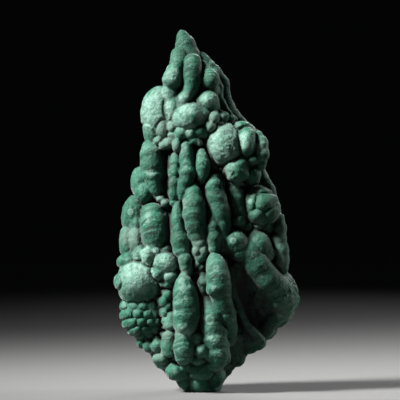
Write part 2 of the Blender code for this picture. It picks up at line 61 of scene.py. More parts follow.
# each finger is a chain of balls from its top down: x, y, z, radius; a web roots it in the body
FINGERS = {
    "crown_left": [(-10.8, -4, 134.3, 2.9), (-10.9, -6, 131, 3.1), (-11.8, -7, 128.4, 2.9)],
    "crown_bulge": [(-12.7, -7.5, 126.4, 3.3), (-13.4, -8, 124.2, 3.8)],
    "crown_neck": [(-14, -6.5, 121, 3), (-14.3, -6, 116.6, 3.7)],
    "crown_right": [(-5.2, -7, 131.4, 3.3), (-5.4, -8, 127.6, 3.4), (-5.8, -8.5, 124, 3.2),
        (-6.8, -9, 120.4, 2.6), (-8.6, -9, 117, 2.8), (-9.6, -9, 114, 2.6)],
    "pear": [(-0.4, -6, 129, 1.2), (1.6, -7.5, 124, 3.7)],
    "ball_strip": [(20.6, -8.6, 101.6, 1.7), (22.2, -9.6, 98.6, 2.4), (22.7, -9.8, 94.8, 2.6),
        (22.2, -9.2, 90.6, 2.2)],
    "ball_left": [(2, -9.4, 95.6, 1.4), (1.4, -10, 92.4, 1.9), (2.2, -10, 88.8, 1.7)],
    "stump_left": [(-22.6, -5.5, 96.6, 3.4), (-21.8, -6.3, 94.2, 4.3), (-21.4, -6.6, 90.4, 4.7)],
    "stump_skirt": [(-20.9, -6, 85.8, 4), (-20.6, -6.8, 83.4, 3), (-20, -7, 80.4, 2.1),
        (-19.8, -7, 77.6, 1.1)],
    "reed_left": [(-12, -11, 94, 1.4), (-12.4, -12, 90.8, 1.9), (-12.6, -12.8, 87.2, 2.1),
        (-12.5, -13, 83.2, 2), (-12.5, -13, 79.2, 2), (-12.8, -13, 75.2, 1.7)],
    "reed_middle": [(-7.8, -13, 97.2, 2.3), (-7.6, -13.5, 93.6, 2.6), (-7.6, -14, 90.8, 2.4),
        (-7.5, -14.5, 87.6, 2.9), (-7.8, -14.8, 84.4, 2.6), (-8.6, -14.6, 80.8, 2.2), (-9.2, -14, 77.2, 1.7)],
    "reed_right": [(-1.7, -12.5, 95.8, 1.1), (-1.7, -13.6, 93.6, 1.8), (-1.6, -14.2, 90.8, 2.5),
        (-1.6, -14.2, 88.4, 2.6), (-1.6, -14, 86, 2.1), (-1.7, -13.5, 83.2, 1.2)],
    "long_right": [(2.8, -13.6, 84.2, 2.1), (3.2, -14.2, 81.4, 3.1), (4.2, -14.4, 76.6, 3.9),
        (5, -14.4, 71.4, 4.3), (5.6, -14, 66.4, 4.2), (6.2, -13.6, 62.6, 3.8), (6.2, -13, 58, 3.2)],
    "long_right_low": [(2.2, -16.6, 68.8, 1.6), (2.5, -17.2, 65.8, 2.3), (3.1, -17.4, 62, 2.7),
        (3.4, -17, 57.4, 2.2)],
    "middle_lump": [(9.6, -12.4, 62.2, 3.4), (11.4, -13.2, 59.6, 4.8), (13.4, -13, 56.2, 4.2)],
    "second_lump": [(18.4, -8.8, 61.2, 3.6), (20.6, -9.6, 58, 4.9), (22.6, -9.2, 54.6, 4.4)],
    "outer_strip": [(29.2, -5, 68.6, 2), (29.4, -6, 64.6, 2.3), (29, -7, 60.6, 2.6), (29.6, -7, 56, 3),
        (30.2, -6.5, 51.6, 2.6), (31, -5, 47.4, 1.5)],
    "shadow_reed": [(11.4, -8, 80, 3), (11.8, -9, 75.6, 3.2), (12.4, -9.6, 71, 3.2), (13.2, -9.4, 66.4, 3)],
    "long_middle": [(-4.8, -14.6, 82, 1.7), (-4.7, -15.8, 79, 2.9), (-4.7, -16.8, 75, 4),
        (-4.7, -17, 70.6, 4.2), (-4.1, -16.8, 66.8, 3.9), (-3.5, -16.2, 63.4, 3.5), (-2.9, -15.2, 60.6, 2.8)],
    "long_left": [(-11.2, -13.5, 75, 1.4), (-11.5, -14.5, 71.6, 1.9), (-11.2, -14.8, 68.4, 2.4),
        (-10.8, -15, 64.4, 2.5), (-10, -15.5, 60.4, 3.4), (-9.6, -15.5, 57, 3.2)],
    "long_left_low": [(-8.4, -16.2, 56, 1.8), (-8.2, -16.9, 53.2, 2.4), (-8, -16.6, 50.4, 2.3),
        (-7.4, -16, 47.8, 2.3)],
    "stub": [(-21.4, -8, 70.8, 4.2), (-20.9, -9.5, 66.6, 5), (-20.4, -10, 62.4, 5.2),
        (-20.2, -10, 59.6, 4.6)],
    "front_finger": [(-8.8, -16.5, 45.8, 2.5), (-8.8, -18, 43.2, 3.5), (-8.4, -19, 39.6, 4.4),
        (-8, -19.3, 35.6, 4.8), (-7.9, -19.3, 31.4, 5), (-8.3, -18.9, 27.6, 4.7), (-8.8, -18.4, 24.8, 4)],
    "front_low": [(-9, -19, 21.8, 3.7), (-9, -19, 18, 4.1), (-8.7, -18, 15.2, 3.9)],
    "front_side": [(-13.8, -15, 30.4, 1.6), (-14.4, -15, 26.4, 2.5)],
    "front_side_low": [(-14.8, -15, 21.8, 2.6), (-14.8, -14, 16.8, 2.8)],
    "sliver": [(-1.2, -16.5, 46.6, 1.2), (-1, -17.5, 43.6, 1.9), (-0.8, -17, 39.6, 1.2)],
    "front_right": [(-0.2, -15.5, 38.8, 1.6), (0.9, -17, 34.8, 2.8), (2.3, -18.5, 30.2, 3.9),
        (2.9, -18.6, 26, 3.9), (3.7, -18.4, 21.6, 4.2), (4.9, -17.4, 16.6, 4), (4.6, -15.4, 12.2, 3.3)],
    "leaning": [(3.6, -17, 54.6, 1.9), (3.8, -18.6, 52, 3.3), (4.4, -20, 49.2, 4.2), (5, -20.5, 46, 4.6),
        (5.5, -20, 42.4, 4.7), (6.6, -19, 36.6, 3.8), (8.6, -17.5, 31.2, 3), (9.6, -15.5, 25.6, 2.7)],
    "keel": [(9.8, -13, 49, 1.4), (10.8, -13, 40, 1.2), (13.2, -12, 32.4, 1.1), (17.2, -10, 25.2, 1.3),
        (21.6, -7, 20.2, 2)],
    "tilted": [(14.8, -11.6, 58.6, 3.4), (17, -12.2, 55.4, 4.5), (20.2, -11.6, 50.8, 4.9),
        (24.2, -9.8, 45.6, 4.9), (28.3, -7.2, 41.4, 4.9)],
}
SMOOTH_FINGERS = ("keel", "tilted", "pear", "apex")
# the wing is part of the body: its ridge's balls, from the upper left round the tip to the lower edge
WING = [
    (14.6, -8.5, 55.6, 3.4), (19.3, -8.5, 50.2, 4.4), (23.7, -7.5, 45, 4.6), (28.1, -5.5, 41.2, 4.9),
    (31.4, -4, 37.6, 5), (29.9, -1.5, 31.6, 3.8), (26.4, 0, 28, 3), (22.6, 1, 23.8, 2.2),
]
WING_BACK = 6.0
# and its face slopes from those down into the hollow
WING_FACE = [
    ((14.6, -9, 52.8, 4), (10, -6.5, 43, 4)), ((19, -8, 50, 4.2), (13, -2, 38.5, 4)),
    ((23.7, -6.5, 45, 4.4), (17, 1, 32.5, 4)), ((28.1, -5, 41.2, 4.4), (21, 2, 30, 3.6)),
    ((31, -3.5, 37.6, 4.6), (25, 2, 28.5, 3.2)),
]
# chains that lie on the body with no web: the tip, the crust's edges on the right, the ribs behind
BARE_FINGERS = {
    "apex": [(-10, 0, 143.5, 0.7), (-9.2, 0, 141.4, 2.2), (-8, 0, 138, 3.9), (-7.2, 0, 133.5, 5),
        (-6.4, 1, 127.5, 6.6), (-6, 2, 120, 8)],
    "rim": [(-1.6, 0, 133.6, 1.8), (4, 1, 127.2, 2.2), (6.4, 2, 123.2, 2.6), (7, 2, 117, 2.6),
        (11.4, 2, 109.2, 2.6), (18, 1, 102.4, 2.6)],
    "inner_rim": [(-1.2, -3, 131, 1), (4, -2, 126.2, 1.3), (5.2, -3, 121, 1.4), (5.2, -4, 117, 1.4),
        (8.2, -4, 111.6, 1.4), (11.2, -4, 108.6, 1.4)],
    "outer_rim": [(21.8, -2, 87.4, 2), (25.4, -3, 80.4, 2.4), (27.2, -3.5, 72, 2.6)],
    "back_first": [(-9, 7, 128, 2.6), (-12, 10, 118, 4), (-14, 12, 108, 4.8), (-14, 13, 97, 4.2)],
    "back_second": [(-3, 9, 122, 2.8), (-3, 11, 113, 3.8), (-2, 12, 103, 4.6), (-1, 13, 92, 4)],
    "back_third": [(5, 9, 112, 2.8), (8, 11, 103, 4.2), (11, 12, 94, 4.6), (12, 12, 84, 3.8)],
    "back_left": [(-20, 7, 98, 3.4), (-21, 9, 88, 4.6), (-22, 10, 78, 4.4), (-24, 10, 70, 3.8)],
    "back_right": [(19, 6, 92, 3.2), (21, 8, 83, 4.4), (22, 9, 74, 4.8), (24, 9, 66, 3.8)],
}

# each lobe: x, y, z, half width, half height
LOBES = [
    # crown
    (0.4, -7.5, 115.2, 4.5, 4.7), (-1.6, -10.2, 110, 2.8, 3.4), (-6.4, -9, 109.2, 6.8, 6.2),
    (2.2, -5, 120, 3, 3.2), (-9.8, -10.6, 102.6, 3, 3), (-6, -11, 102.4, 2.8, 3),
    (-2, -11.2, 103.4, 3.2, 2.5), (-4.4, -11, 99.8, 2.8, 2), (-12.4, -8.5, 101.6, 2.6, 3),
    # on the upper right ball
    (7.2, -8.2, 97.8, 6.8, 8.8), (16.4, -10, 99, 3.6, 5.8), (14.4, -7.6, 105.6, 3, 1.9),
    (12, -10.6, 88, 5, 4.9), (18.6, -8, 86.4, 3.4, 3.8), (19, -10.4, 92.4, 2.4, 2.2),
    (12.2, -8.6, 82.8, 3, 1.8), (13.8, -13, 90.4, 2.4, 2.4), (14.8, -12.6, 86.2, 2.2, 2.2),
    (10.6, -13.2, 85.6, 2.4, 2.2),
    # left shoulder
    (-17.4, -6.2, 105.2, 2.9, 5), (-13.2, -5, 112.4, 4.8, 6.6), (-21.4, -3.4, 103.2, 3.7, 5.4),
    # dusty lumps in the recesses
    (3, -11, 108.6, 2.4, 2.3), (2, -12, 105.4, 2.2, 2.2), (6.6, -8, 108.8, 2.6, 2.4), (5.4, -10, 105.6, 2, 2),
    (10.2, -7, 108.6, 1.5, 1.4), (-19.2, -8, 99.6, 1.8, 1.8), (-17, -9.5, 97.7, 1.8, 1.8),
    (-14.8, -10.5, 98.6, 2.5, 2.1), (-11.4, -12, 98, 2, 2.8), (-13.4, -10, 105.4, 1.7, 2.1),
    (-2.6, -12, 98.8, 1.4, 1.4), (-16.4, -9, 74.8, 1.9, 1.9), (-18.2, -8, 76.6, 1.7, 1.6),
    (-21, -6.4, 86.4, 4.9, 3),
    # left flank
    (-26.2, -2, 83.4, 3.5, 5.8), (-24.4, -4.5, 79.2, 3.7, 4.6), (-28.6, 0, 70, 5.4, 7.2),
    (-31.6, -2, 58.8, 3, 6.6), (-27.8, -5, 60, 3.2, 6), (-27.4, -3.5, 66.4, 3.4, 4.8),
    # right flank, upper
    (12.8, -11.6, 68.4, 2.6, 2.5), (20.2, -9, 65.6, 1.7, 1.5), (23.6, -6, 65.2, 3.2, 2.6),
    (27.6, -2, 65.4, 3.2, 4.4), (15.6, -9, 65.4, 2.4, 2.6),
    # the lump under the middle finger
    (-2.4, -15.6, 60, 3.5, 3.2), (-0.8, -16.4, 57, 2.1, 2.8), (-3.9, -16.2, 56.6, 2, 2.6),
    (-2.4, -15.8, 54, 2.4, 2.4), (-0.6, -15.8, 54, 1.6, 1.8), (-3.2, -15.6, 51.4, 1.7, 2),
    (-1.7, -15.4, 49.8, 1.6, 2), (-2.8, -14.8, 47.4, 1.4, 1.7),
    # beside the front finger
    (-15.2, -13.5, 38.4, 2.2, 2.4), (-16.6, -13.5, 36, 2, 2.4), (-15.2, -13.5, 34.2, 1.8, 2),
    (-16.6, -13.5, 31.6, 1.7, 2), (-16, -13.5, 28.4, 1.6, 1.8),
    # on the wing
    (32.8, -7.6, 35.8, 1.9, 1.8), (28.4, -5.8, 34, 2.1, 2.1), (32, -7.8, 41, 1.9, 1.8),
    (34, -6.2, 38.4, 1.8, 1.8), (29.6, -3.8, 29.2, 2, 1.8), (30.6, -7.2, 38.6, 1.7, 1.6),
    # right flank, lower
    (25.6, -3.5, 53, 2.8, 3.4), (9, -11, 24, 3, 6),
    # lower left ball
    (-26.4, -9.5, 54.6, 2.9, 3.4), (-22.8, -12.5, 54.4, 3, 3.6), (-19.4, -12, 56, 2.5, 2.6),
    (-16.2, -11, 56.2, 3.2, 2.8), (-15.8, -14, 51.4, 4.6, 4.5), (-18.8, -15, 47.6, 2.3, 2.3),
    (-14.2, -15, 46.4, 3, 3), (-14.8, -14, 43.4, 2.4, 2.4), (-12, -12, 53.2, 2.4, 2.6),
    (-31.2, -6, 51.6, 4.4, 3.4), (-35, -5, 44, 1.6, 2.4), (-25.6, -5, 19.4, 2, 2.4),
    (-22.4, -7.5, 18.2, 2.3, 2.5), (-19, -9.5, 18.4, 2.7, 2.6),
    # on the front fingers
    (-9.2, -20.4, 26.4, 3.4, 3.2), (3.2, -21.8, 41.6, 3, 3), (-4.6, -16.4, 26.6, 2.1, 3.4),
    (6.4, -18.6, 24, 2, 2.6), (1, -18.6, 21.8, 2.2, 2.6), (6.8, -17, 19, 2.4, 3.2),
    (1.6, -17.8, 15.6, 2.2, 2.8), (7.6, -14.6, 14.6, 2.2, 3.4),
    # bottom
    (-3.8, -17, 21.7, 3.3, 3.5), (-1.6, -18, 17.2, 3.1, 3.2), (-3.2, -16, 13.2, 2.7, 2.4),
    (3.4, -14, 11, 3.4, 2.8), (-11.8, -11, 8.3, 4.6, 3.7), (-2.2, -12, 8.8, 4.5, 4.5),
    (-17.6, -10, 13.4, 3.6, 2.5), (-7.6, -13, 10.4, 2.6, 2.4), (-2.6, -9.5, 3.2, 3.8, 3.8),
    (-8.4, -7.5, 3.6, 3, 2.8), (4.4, -8, 5.4, 3, 3.8),
    # back
    (-25, 8, 56, 7.5, 8.5), (24, 8, 52, 7, 8), (-10, 12, 78, 5.5, 6), (3, 12, 76, 6, 5.5),
    (-26, 6, 38, 6.5, 7.5), (22, 8, 35, 7, 7.5), (-17, 10, 23, 6, 5.5), (11, 8, 22, 5.5, 5.5),
    (-6, 11, 14, 6, 6), (5, 10, 12, 5, 5.5), (14, 13, 64, 5.5, 5.5), (-15, 13, 66, 5, 5.5),
    (-19, 12, 46, 5, 5.5), (17, 13, 44, 5, 5.5), (2, 8, 124, 4, 4.6),
]
# balls that are split into lobes by creases. A ball: x, y, z, half width, half depth, half height.
# Its creases: how deep, and how wide as a share of a lobe's size.
# Its lobes, seen from the front: x, z, half width, half height, how far they bulge
BALLS = {
    "upper_right": ((12.2, -4.6, 94.2, 12.4, 7.8, 13), (0.8, 0.45), [
        (6.2, 99, 6.3, 8.2, 0), (7.4, 90.6, 3.4, 3.8, 0), (16, 99, 3.2, 5.8, 0), (22.3, 95.6, 2.6, 6.4, 0),
        (12, 88, 4.9, 5, 0), (18.6, 86, 3, 3.6, 0)]),
    "left_shoulder": ((-18.2, -3, 109.8, 8, 7.5, 11.6), (0.7, 0.40), [
        (-20.4, 112, 6, 8.6, 0.4), (-14.6, 112.8, 3.2, 4.6, 0.5), (-17.4, 105, 2.9, 5, 0.3),
        (-23, 103, 2.8, 4.4, 0.5)]),
    "right_flank": ((22.2, -6.6, 73.4, 7.3, 7.2, 7.8), (0.9, 0.55), [
        (22.8, 75.4, 3.6, 3.4, 1.5), (20.4, 69.6, 3.4, 3.4, 1.7), (26.2, 70.6, 3, 3.4, 1),
        (17.6, 76, 2.8, 3.8, 0.9), (21.5, 80.2, 4.2, 1.6, 0.6)]),
    "lower_left": ((-27, -7, 43.6, 9.2, 9.2, 9), (1, 0.5), [
        (-26.6, 43.6, 9, 9, 0), (-35, 43.6, 2.2, 3.8, 0.5)]),
    "scales": ((-25, -5, 30.6, 9.6, 8.6, 9.8), (1.5, 0.75), [
        (-33, 34.6, 2.4, 1.8, 0.5), (-29, 34.8, 2.3, 1.8, 0.5), (-25, 34.6, 2.3, 1.8, 0.6),
        (-21.2, 34.8, 2.2, 1.8, 0.5), (-31.2, 31.2, 2.3, 1.8, 0.5), (-27.2, 31.4, 2.3, 1.8, 0.6),
        (-23.2, 31, 2.3, 1.8, 0.6), (-19.4, 31.2, 2.2, 1.8, 0.5), (-29.4, 27.9, 2.2, 1.8, 0.5),
        (-25.6, 28.1, 2.2, 1.8, 0.6), (-21.8, 27.7, 2.2, 1.8, 0.6), (-18.4, 28, 2, 1.8, 0.5),
        (-27.4, 24.6, 2.1, 1.7, 0.5), (-23.8, 24.8, 2.1, 1.7, 0.5), (-20.2, 24.6, 2, 1.7, 0.5),
        (-25.4, 21.6, 2, 1.6, 0.5), (-22, 21.6, 2, 1.6, 0.5)]),
}

# ------------------------ the growth as a field

GRID_STEP = 0.45  # millimetres
GRID_LOW = (-39.0, -27.5, -1.8)
GRID_HIGH = (39.0, 21.5, 146.0)
FAR = 9.0  # the field's value away from everything
TINY = 1e-6
BODY_MARGIN, FEATURE_MARGIN = 4.0, 5.0  # how far round its shape each is worked out
BALL_MARGIN, BEAD_MARGIN = 2.7, 0.5  # how far a ball's lobes and a finger's beads may stand out
LOBE_BLEND, CHAIN_BLEND = 0.45, 1.0  # how softly two lobes meet (a sharp crease), and two links
BODY_BLEND, FILL_BLEND, ROOT_BLEND = 2.0, 0.8, 0.6  # and the body's parts, its filling, the features
LOBE_DEPTH_RATIO = 1.15
WEB_RATIO, WEB_EXTRA = 1.5, 4.0  # a finger's web: times its thickness, and so much more
LOBE_WEB, WEB_FROM_Y = 5.0, -1.0  # a lobe's, if it stands in front of this
SCAR_Y = 17.6  # the old break behind
STONE_EDGE = 1.5  # millimetres from all stone to all air across the skin
FILL_STEP = 3  # the recess filling is worked out on every third grid point
FILL_BLUR, FILL_PASSES, FILL_SLOPE = 2.2, 3, 2.5
LOBE_FILL, FINGER_FILL = 0.45, 0.66  # share of stone round a point that is filled in
LOBE_CREASE, FINGER_CREASE, CREASE_WIDTH = 0.8, 1.6, 2.0  # where features have grown together
BEAD_PITCH, BEAD_HEIGHT = 4.4, 0.24  # a finger's bulges, millimetres
BEAD_LEVEL = 0.55  # the share of a bulge that lies under the even surface
BEAD_DRIFT, BEAD_DRIFT_TURN = 0.9, 0.83  # how far they stray, in a wave of so many radians a millimetre
BEAD_SHIFT = 0.37  # where they start, times the finger's top's height
FRONT_CROWD = (4.6, 1.3, 2.0)  # spacing and smallest and largest radius of the seeded lobes
BACK_CROWD = (5.6, 2.6, 4.3)
BACK_FROM_Y, CROWD_LOWEST_Z = 2.0, 7.0
CROWD_SKIN, CROWD_CLEAR = 0.6, 0.5  # grid steps off the body's skin, millimetres off the features
CROWD_CORE, CROWD_SUNK = (-1.0, 2.0), 0.75  # sunk towards this x and y, by this share of their size
CROWD_UNEVEN = (0.85, 1.2)  # their radii over their size
CELL_START = 500.0  # the thinning's cells are counted from this far out
# x, z and radius of the places with no seeded lobes: the hollow under the wing, the recesses between
# the fingers, the crown's crust
BARE_IN_FRONT = [
    (20, 31, 14), (16, 44, 7), (-15.8, 86, 5), (-15.6, 78, 4), (-14.4, 68, 3), (-3, 60, 6), (6, 90, 5),
    (22, 73.4, 9), (13, 78, 5), (17, 19, 9), (9, 16, 6), (10, 66, 6), (-6, 104, 8),
]
BARE_ALL_THROUGH = [
    (4, 120, 9), (10, 110, 5), (0, 132, 8), (-17, 124, 4),
]


def smooth_min(a, b, blend):
    near = np.maximum(blend - np.abs(a - b), 0.0) / blend
    return np.minimum(a, b) - near * near * blend * 0.25


def ellipsoid(centre, radii, web=0.0):
    """distance to a rounded lobe, with its corners; a web carries it straight back"""
    centre = np.array(centre, float)
    radii = np.array(radii, float)

    def distance(x, y, z):
        behind = y - centre[1]
        u = (x - centre[0]) / radii[0]
        v = (behind - np.clip(behind, 0.0, web)) / radii[1]
        w = (z - centre[2]) / radii[2]
        scaled = np.sqrt(u * u + v * v + w * w) + TINY
        slope = np.sqrt((u / radii[0]) ** 2 + (v / radii[1]) ** 2 + (w / radii[2]) ** 2) + TINY
        return scaled * (scaled - 1.0) / slope

    return centre - radii, centre + radii + np.array([0.0, web, 0.0]), distance


def split_ball(ball, creases, lobes):
    """distance to a ball whose front is creased between its lobes"""
    low, high, smooth = ellipsoid(ball[:3], ball[3:])
    depth, width = creases

    def distance(x, y, z):
        first = second = FAR
        bulge = 0.0
        for lobe_x, lobe_z, half_width, half_height, proud in lobes:
            away = np.hypot((x - lobe_x) / half_width, (z - lobe_z) / half_height)
            second = np.minimum(second, np.maximum(first, away))
            bulge = np.where(away < first, proud * np.maximum(1.0 - away * away, 0.0), bulge)
            first = np.minimum(first, away)
        crease = 1.0 - np.clip((second - first) / width, 0.0, 1.0)
        return smooth(x, y, z) + depth * crease * crease - bulge

    return low - BALL_MARGIN, high + BALL_MARGIN, distance


def link(upper, lower, web, start, bead):
    """distance to one round cone of a chain, drawn back by its web; start is the length above it"""
    a, b = np.array(upper[:3], float), np.array(lower[:3], float)
    ra, rb = upper[3], lower[3]
    ab = b - a
    length2 = float(ab @ ab)
    length = math.sqrt(length2)
    taper = ra - rb
    slant2 = max(length2 - taper * taper, 1e-3)
    flat2 = ab[0] ** 2 + ab[2] ** 2 + TINY

    def distance(x, y, z):
        px, pz = x - a[0], z - a[2]
        share = np.clip((px * ab[0] + pz * ab[2]) / flat2, 0.0, 1.0)
        behind = y - (a[1] + share * ab[1])
        py = y - a[1] - np.clip(behind, 0.0, web)
        along = px * ab[0] + py * ab[1] + pz * ab[2]
        past = along - length2
        off2 = ((px * length2 - ab[0] * along) ** 2 + (py * length2 - ab[1] * along) ** 2
                + (pz * length2 - ab[2] * along) ** 2)
        key = np.sign(taper) * taper * taper * off2
        side = (np.sqrt(off2 * slant2 / length2) + along * taper) / length2 - ra
        foot = np.sqrt(off2 + past * past * length2) / length2 - rb
        head = np.sqrt(off2 + along * along * length2) / length2 - ra
        out = np.where(np.sign(along) * slant2 * along * along * length2 < key, head, side)
        out = np.where(np.sign(past) * slant2 * past * past * length2 > key, foot, out)
        if bead:
            way = start + np.clip(along / length, -ra, length + rb)
            way = way + BEAD_DRIFT * np.sin(BEAD_DRIFT_TURN * way + start)
            out = out - bead * (np.abs(np.sin(math.pi * way / BEAD_PITCH)) - BEAD_LEVEL)
        return out

    reach = max(ra, rb) + BEAD_MARGIN
    low = np.minimum(a, b) - reach
    high = np.maximum(a, b) + reach
    high[1] += web
    return low, high, distance


def finger(name, chain, rooted):
    """the links of one chain"""
    bead = 0.0 if name in SMOOTH_FINGERS else BEAD_HEIGHT
    start = chain[0][2] * BEAD_SHIFT
    links = []
    for upper, lower in zip(chain[:-1], chain[1:]):
        web = WEB_RATIO * max(upper[3], lower[3]) + WEB_EXTRA if rooted else 0.0
        links.append(link(upper, lower, web, start, bead))
        start += math.dist(upper[:3], lower[:3])
    return links


def named_features():
    """every finger and lobe as (its chain or centre, its shapes)"""
    made = [(chain, finger(name, chain, True)) for name, chain in FINGERS.items()]
    made += [(chain, finger(name, chain, False)) for name, chain in BARE_FINGERS.items()]
    for x, y, z, half_width, half_height in LOBES:
        half_depth = LOBE_DEPTH_RATIO * 0.5 * (half_width + half_height)
        web = LOBE_WEB if y < WEB_FROM_Y else 0.0
        shape = ellipsoid((x, y, z), (half_width, half_depth, half_height), web)
        made.append(([(x, y, z, half_width)], [shape]))
    for ball, creases, lobes in BALLS.values():
        made.append(([ball[:4]], [split_ball(ball, creases, lobes)]))
    return made


class Growth:
    """the distance to the nearest and the second nearest feature, and whose it is, at each grid point"""

    def __init__(self):
        self.axes = [np.arange(a, b, GRID_STEP, dtype=np.float32) for a, b in zip(GRID_LOW, GRID_HIGH)]
        size = [len(axis) for axis in self.axes]
        self.nearest = np.full(size, FAR, np.float32)
        self.second = np.full(size, FAR, np.float32)
        self.owner = np.full(size, -1, np.int16)
        self.body = np.full(size, FAR, np.float32)
        self.chains = []

    def place(self, points):
        """the points in grid steps"""
        return np.stack([(points[:, i] - self.axes[i][0]) / GRID_STEP for i in range(3)], 1)

    def window(self, shapes, margin):
        """the part of the grid round the shapes"""
        low = np.min([shape[0] for shape in shapes], axis=0) - margin
        high = np.max([shape[1] for shape in shapes], axis=0) + margin
        cells = []
        for axis, lowest, highest in zip(self.axes, low, high):
            first = int(np.clip((lowest - axis[0]) / GRID_STEP, 0, len(axis)))
            last = int(np.clip((highest - axis[0]) / GRID_STEP + 2, 0, len(axis)))
            cells.append(slice(first, last))
        return tuple(cells)

    def distance(self, shapes, window, blend):
        x = self.axes[0][window[0]][:, None, None]
        y = self.axes[1][window[1]][None, :, None]
        z = self.axes[2][window[2]][None, None, :]
        total = None
        for _, _, distance in shapes:
            part = distance(x, y, z)
            total = part if total is None else smooth_min(total, part, blend)
        return total

    def add_body(self, shape):
        window = self.window([shape], BODY_MARGIN)
        part = self.distance([shape], window, BODY_BLEND)
        self.body[window] = smooth_min(self.body[window], part, BODY_BLEND)

    def add(self, chain, shapes):
        window = self.window(shapes, FEATURE_MARGIN)
        part = self.distance(shapes, window, CHAIN_BLEND)
        before = self.nearest[window]
        self.second[window] = np.minimum(self.second[window], np.maximum(before, part))
        self.owner[window] = np.where(part < before, len(self.chains), self.owner[window])
        self.nearest[window] = np.minimum(before, part)
        self.chains.append(chain)

    def on_finger(self, owners):
        """whether each owner is a chain, and not a lobe or the body"""
        return np.array([len(chain) > 1 for chain in self.chains] + [False])[owners]


def box_blur(block, width, axis):
    """running mean over an odd number of cells"""
    pad = [(0, 0)] * 3
    pad[axis] = (width // 2 + 1, width // 2)
    total = np.cumsum(np.pad(block, pad, mode="edge"), axis=axis, dtype=np.float64)
    count = block.shape[axis]
    upper = np.take(total, range(width, width + count), axis=axis)
    lower = np.take(total, range(count), axis=axis)
    return ((upper - lower) / width).astype(np.float32)


def stretch(coarse, count, axis):
    """linear interpolation from every FILL_STEPth point back to all of them"""
    place = np.arange(count) / FILL_STEP
    first = np.minimum(place.astype(int), coarse.shape[axis] - 1)
    second = np.minimum(first + 1, coarse.shape[axis] - 1)
    shape = [1, 1, 1]
    shape[axis] = count
    share = (place - first).reshape(shape).astype(np.float32)
    return np.take(coarse, first, axis=axis) * (1 - share) + np.take(coarse, second, axis=axis) * share


def averaged(block, blur):
    """the block's mean within about this many millimetres of each grid point"""
    coarse = block[::FILL_STEP, ::FILL_STEP, ::FILL_STEP]
    width = 2 * int(round(blur / (GRID_STEP * FILL_STEP))) + 1
    for _ in range(FILL_PASSES):
        for axis in range(3):
            coarse = box_blur(coarse, width, axis)
    for axis in range(3):
        coarse = stretch(coarse, block.shape[axis], axis)
    return coarse


def stone_around(field, blur):
    """share of stone around each grid point"""
    return averaged(np.clip(0.5 - field / STONE_EDGE, 0.0, 1.0), blur)


def thinned(points, spacing, draw):
    """points thinned to one in each cell of the spacing"""
    points = points[draw.permutation(len(points))]
    cells = np.floor((points + CELL_START) / spacing).astype(np.int64)
    _, first = np.unique(cells, axis=0, return_index=True)
    return points[np.sort(first)]


def crowd(growth):
    """seeded lobes wherever the body shows between the named ones"""
    draw = np.random.default_rng(SEED)
    bare = (np.abs(growth.body) < CROWD_SKIN * GRID_STEP) & (growth.nearest > CROWD_CLEAR)
    places = np.argwhere(bare)
    points = np.stack([growth.axes[i][places[:, i]] for i in range(3)], 1)
    points = points[points[:, 2] > CROWD_LOWEST_Z]
    bare = np.zeros(len(points), bool)
    for places, everywhere in ((BARE_IN_FRONT, False), (BARE_ALL_THROUGH, True)):
        for x, z, radius in places:
            within = np.hypot(points[:, 0] - x, points[:, 2] - z) < radius
            bare |= within & (everywhere | (points[:, 1] < BACK_FROM_Y))
    points = points[~bare]
    behind = points[:, 1] > BACK_FROM_Y
    for group, (spacing, small, large) in ((points[~behind], FRONT_CROWD), (points[behind], BACK_CROWD)):
        for x, y, z in thinned(group, spacing, draw):
            size = draw.uniform(small, large)
            inward = np.array([CROWD_CORE[0] - x, CROWD_CORE[1] - y, 0.0])
            centre = np.array([x, y, z]) + inward / (np.linalg.norm(inward) + TINY) * CROWD_SUNK * size
            radii = size * draw.uniform(*CROWD_UNEVEN, 3)
            growth.add([(*centre, radii[0])], [ellipsoid(centre, radii)])


def grow():
    """the growth, and its field before it was broken off and stood on its base"""
    growth = Growth()
    for x, y, z, half_width, half_depth, half_height in BODY:
        growth.add_body(ellipsoid((x, y, z), (half_width, half_depth, half_height)))
    growth.add_body(link(*STUMP, STUMP_DEPTH, 0.0, 0.0))
    for upper, lower in [*zip(WING[:-1], WING[1:]), *WING_FACE]:
        growth.add_body(link(upper, lower, WING_BACK, 0.0, 0.0))
    for chain, shapes in named_features():
        growth.add(chain, shapes)
    crowd(growth)
    whole = np.minimum(growth.nearest, growth.body)
    finger_share = averaged(growth.on_finger(growth.owner).astype(np.float32), FILL_BLUR)
    level = LOBE_FILL + (FINGER_FILL - LOBE_FILL) * finger_share
    envelope = (level - stone_around(whole, FILL_BLUR)) * FILL_BLUR * FILL_SLOPE
    apart = np.clip((growth.second - growth.nearest) / CREASE_WIDTH, 0.0, 1.0)
    crease = LOBE_CREASE + (FINGER_CREASE - LOBE_CREASE) * finger_share
    filling = envelope + crease * (1.0 - apart) ** 2
    features = smooth_min(growth.nearest, growth.second, LOBE_BLEND)
    field = smooth_min(features, smooth_min(growth.body, filling, FILL_BLEND), ROOT_BLEND)
    return growth, field


# ------------------------ from the field to a mesh

MOST_TRIANGLES = 196_000
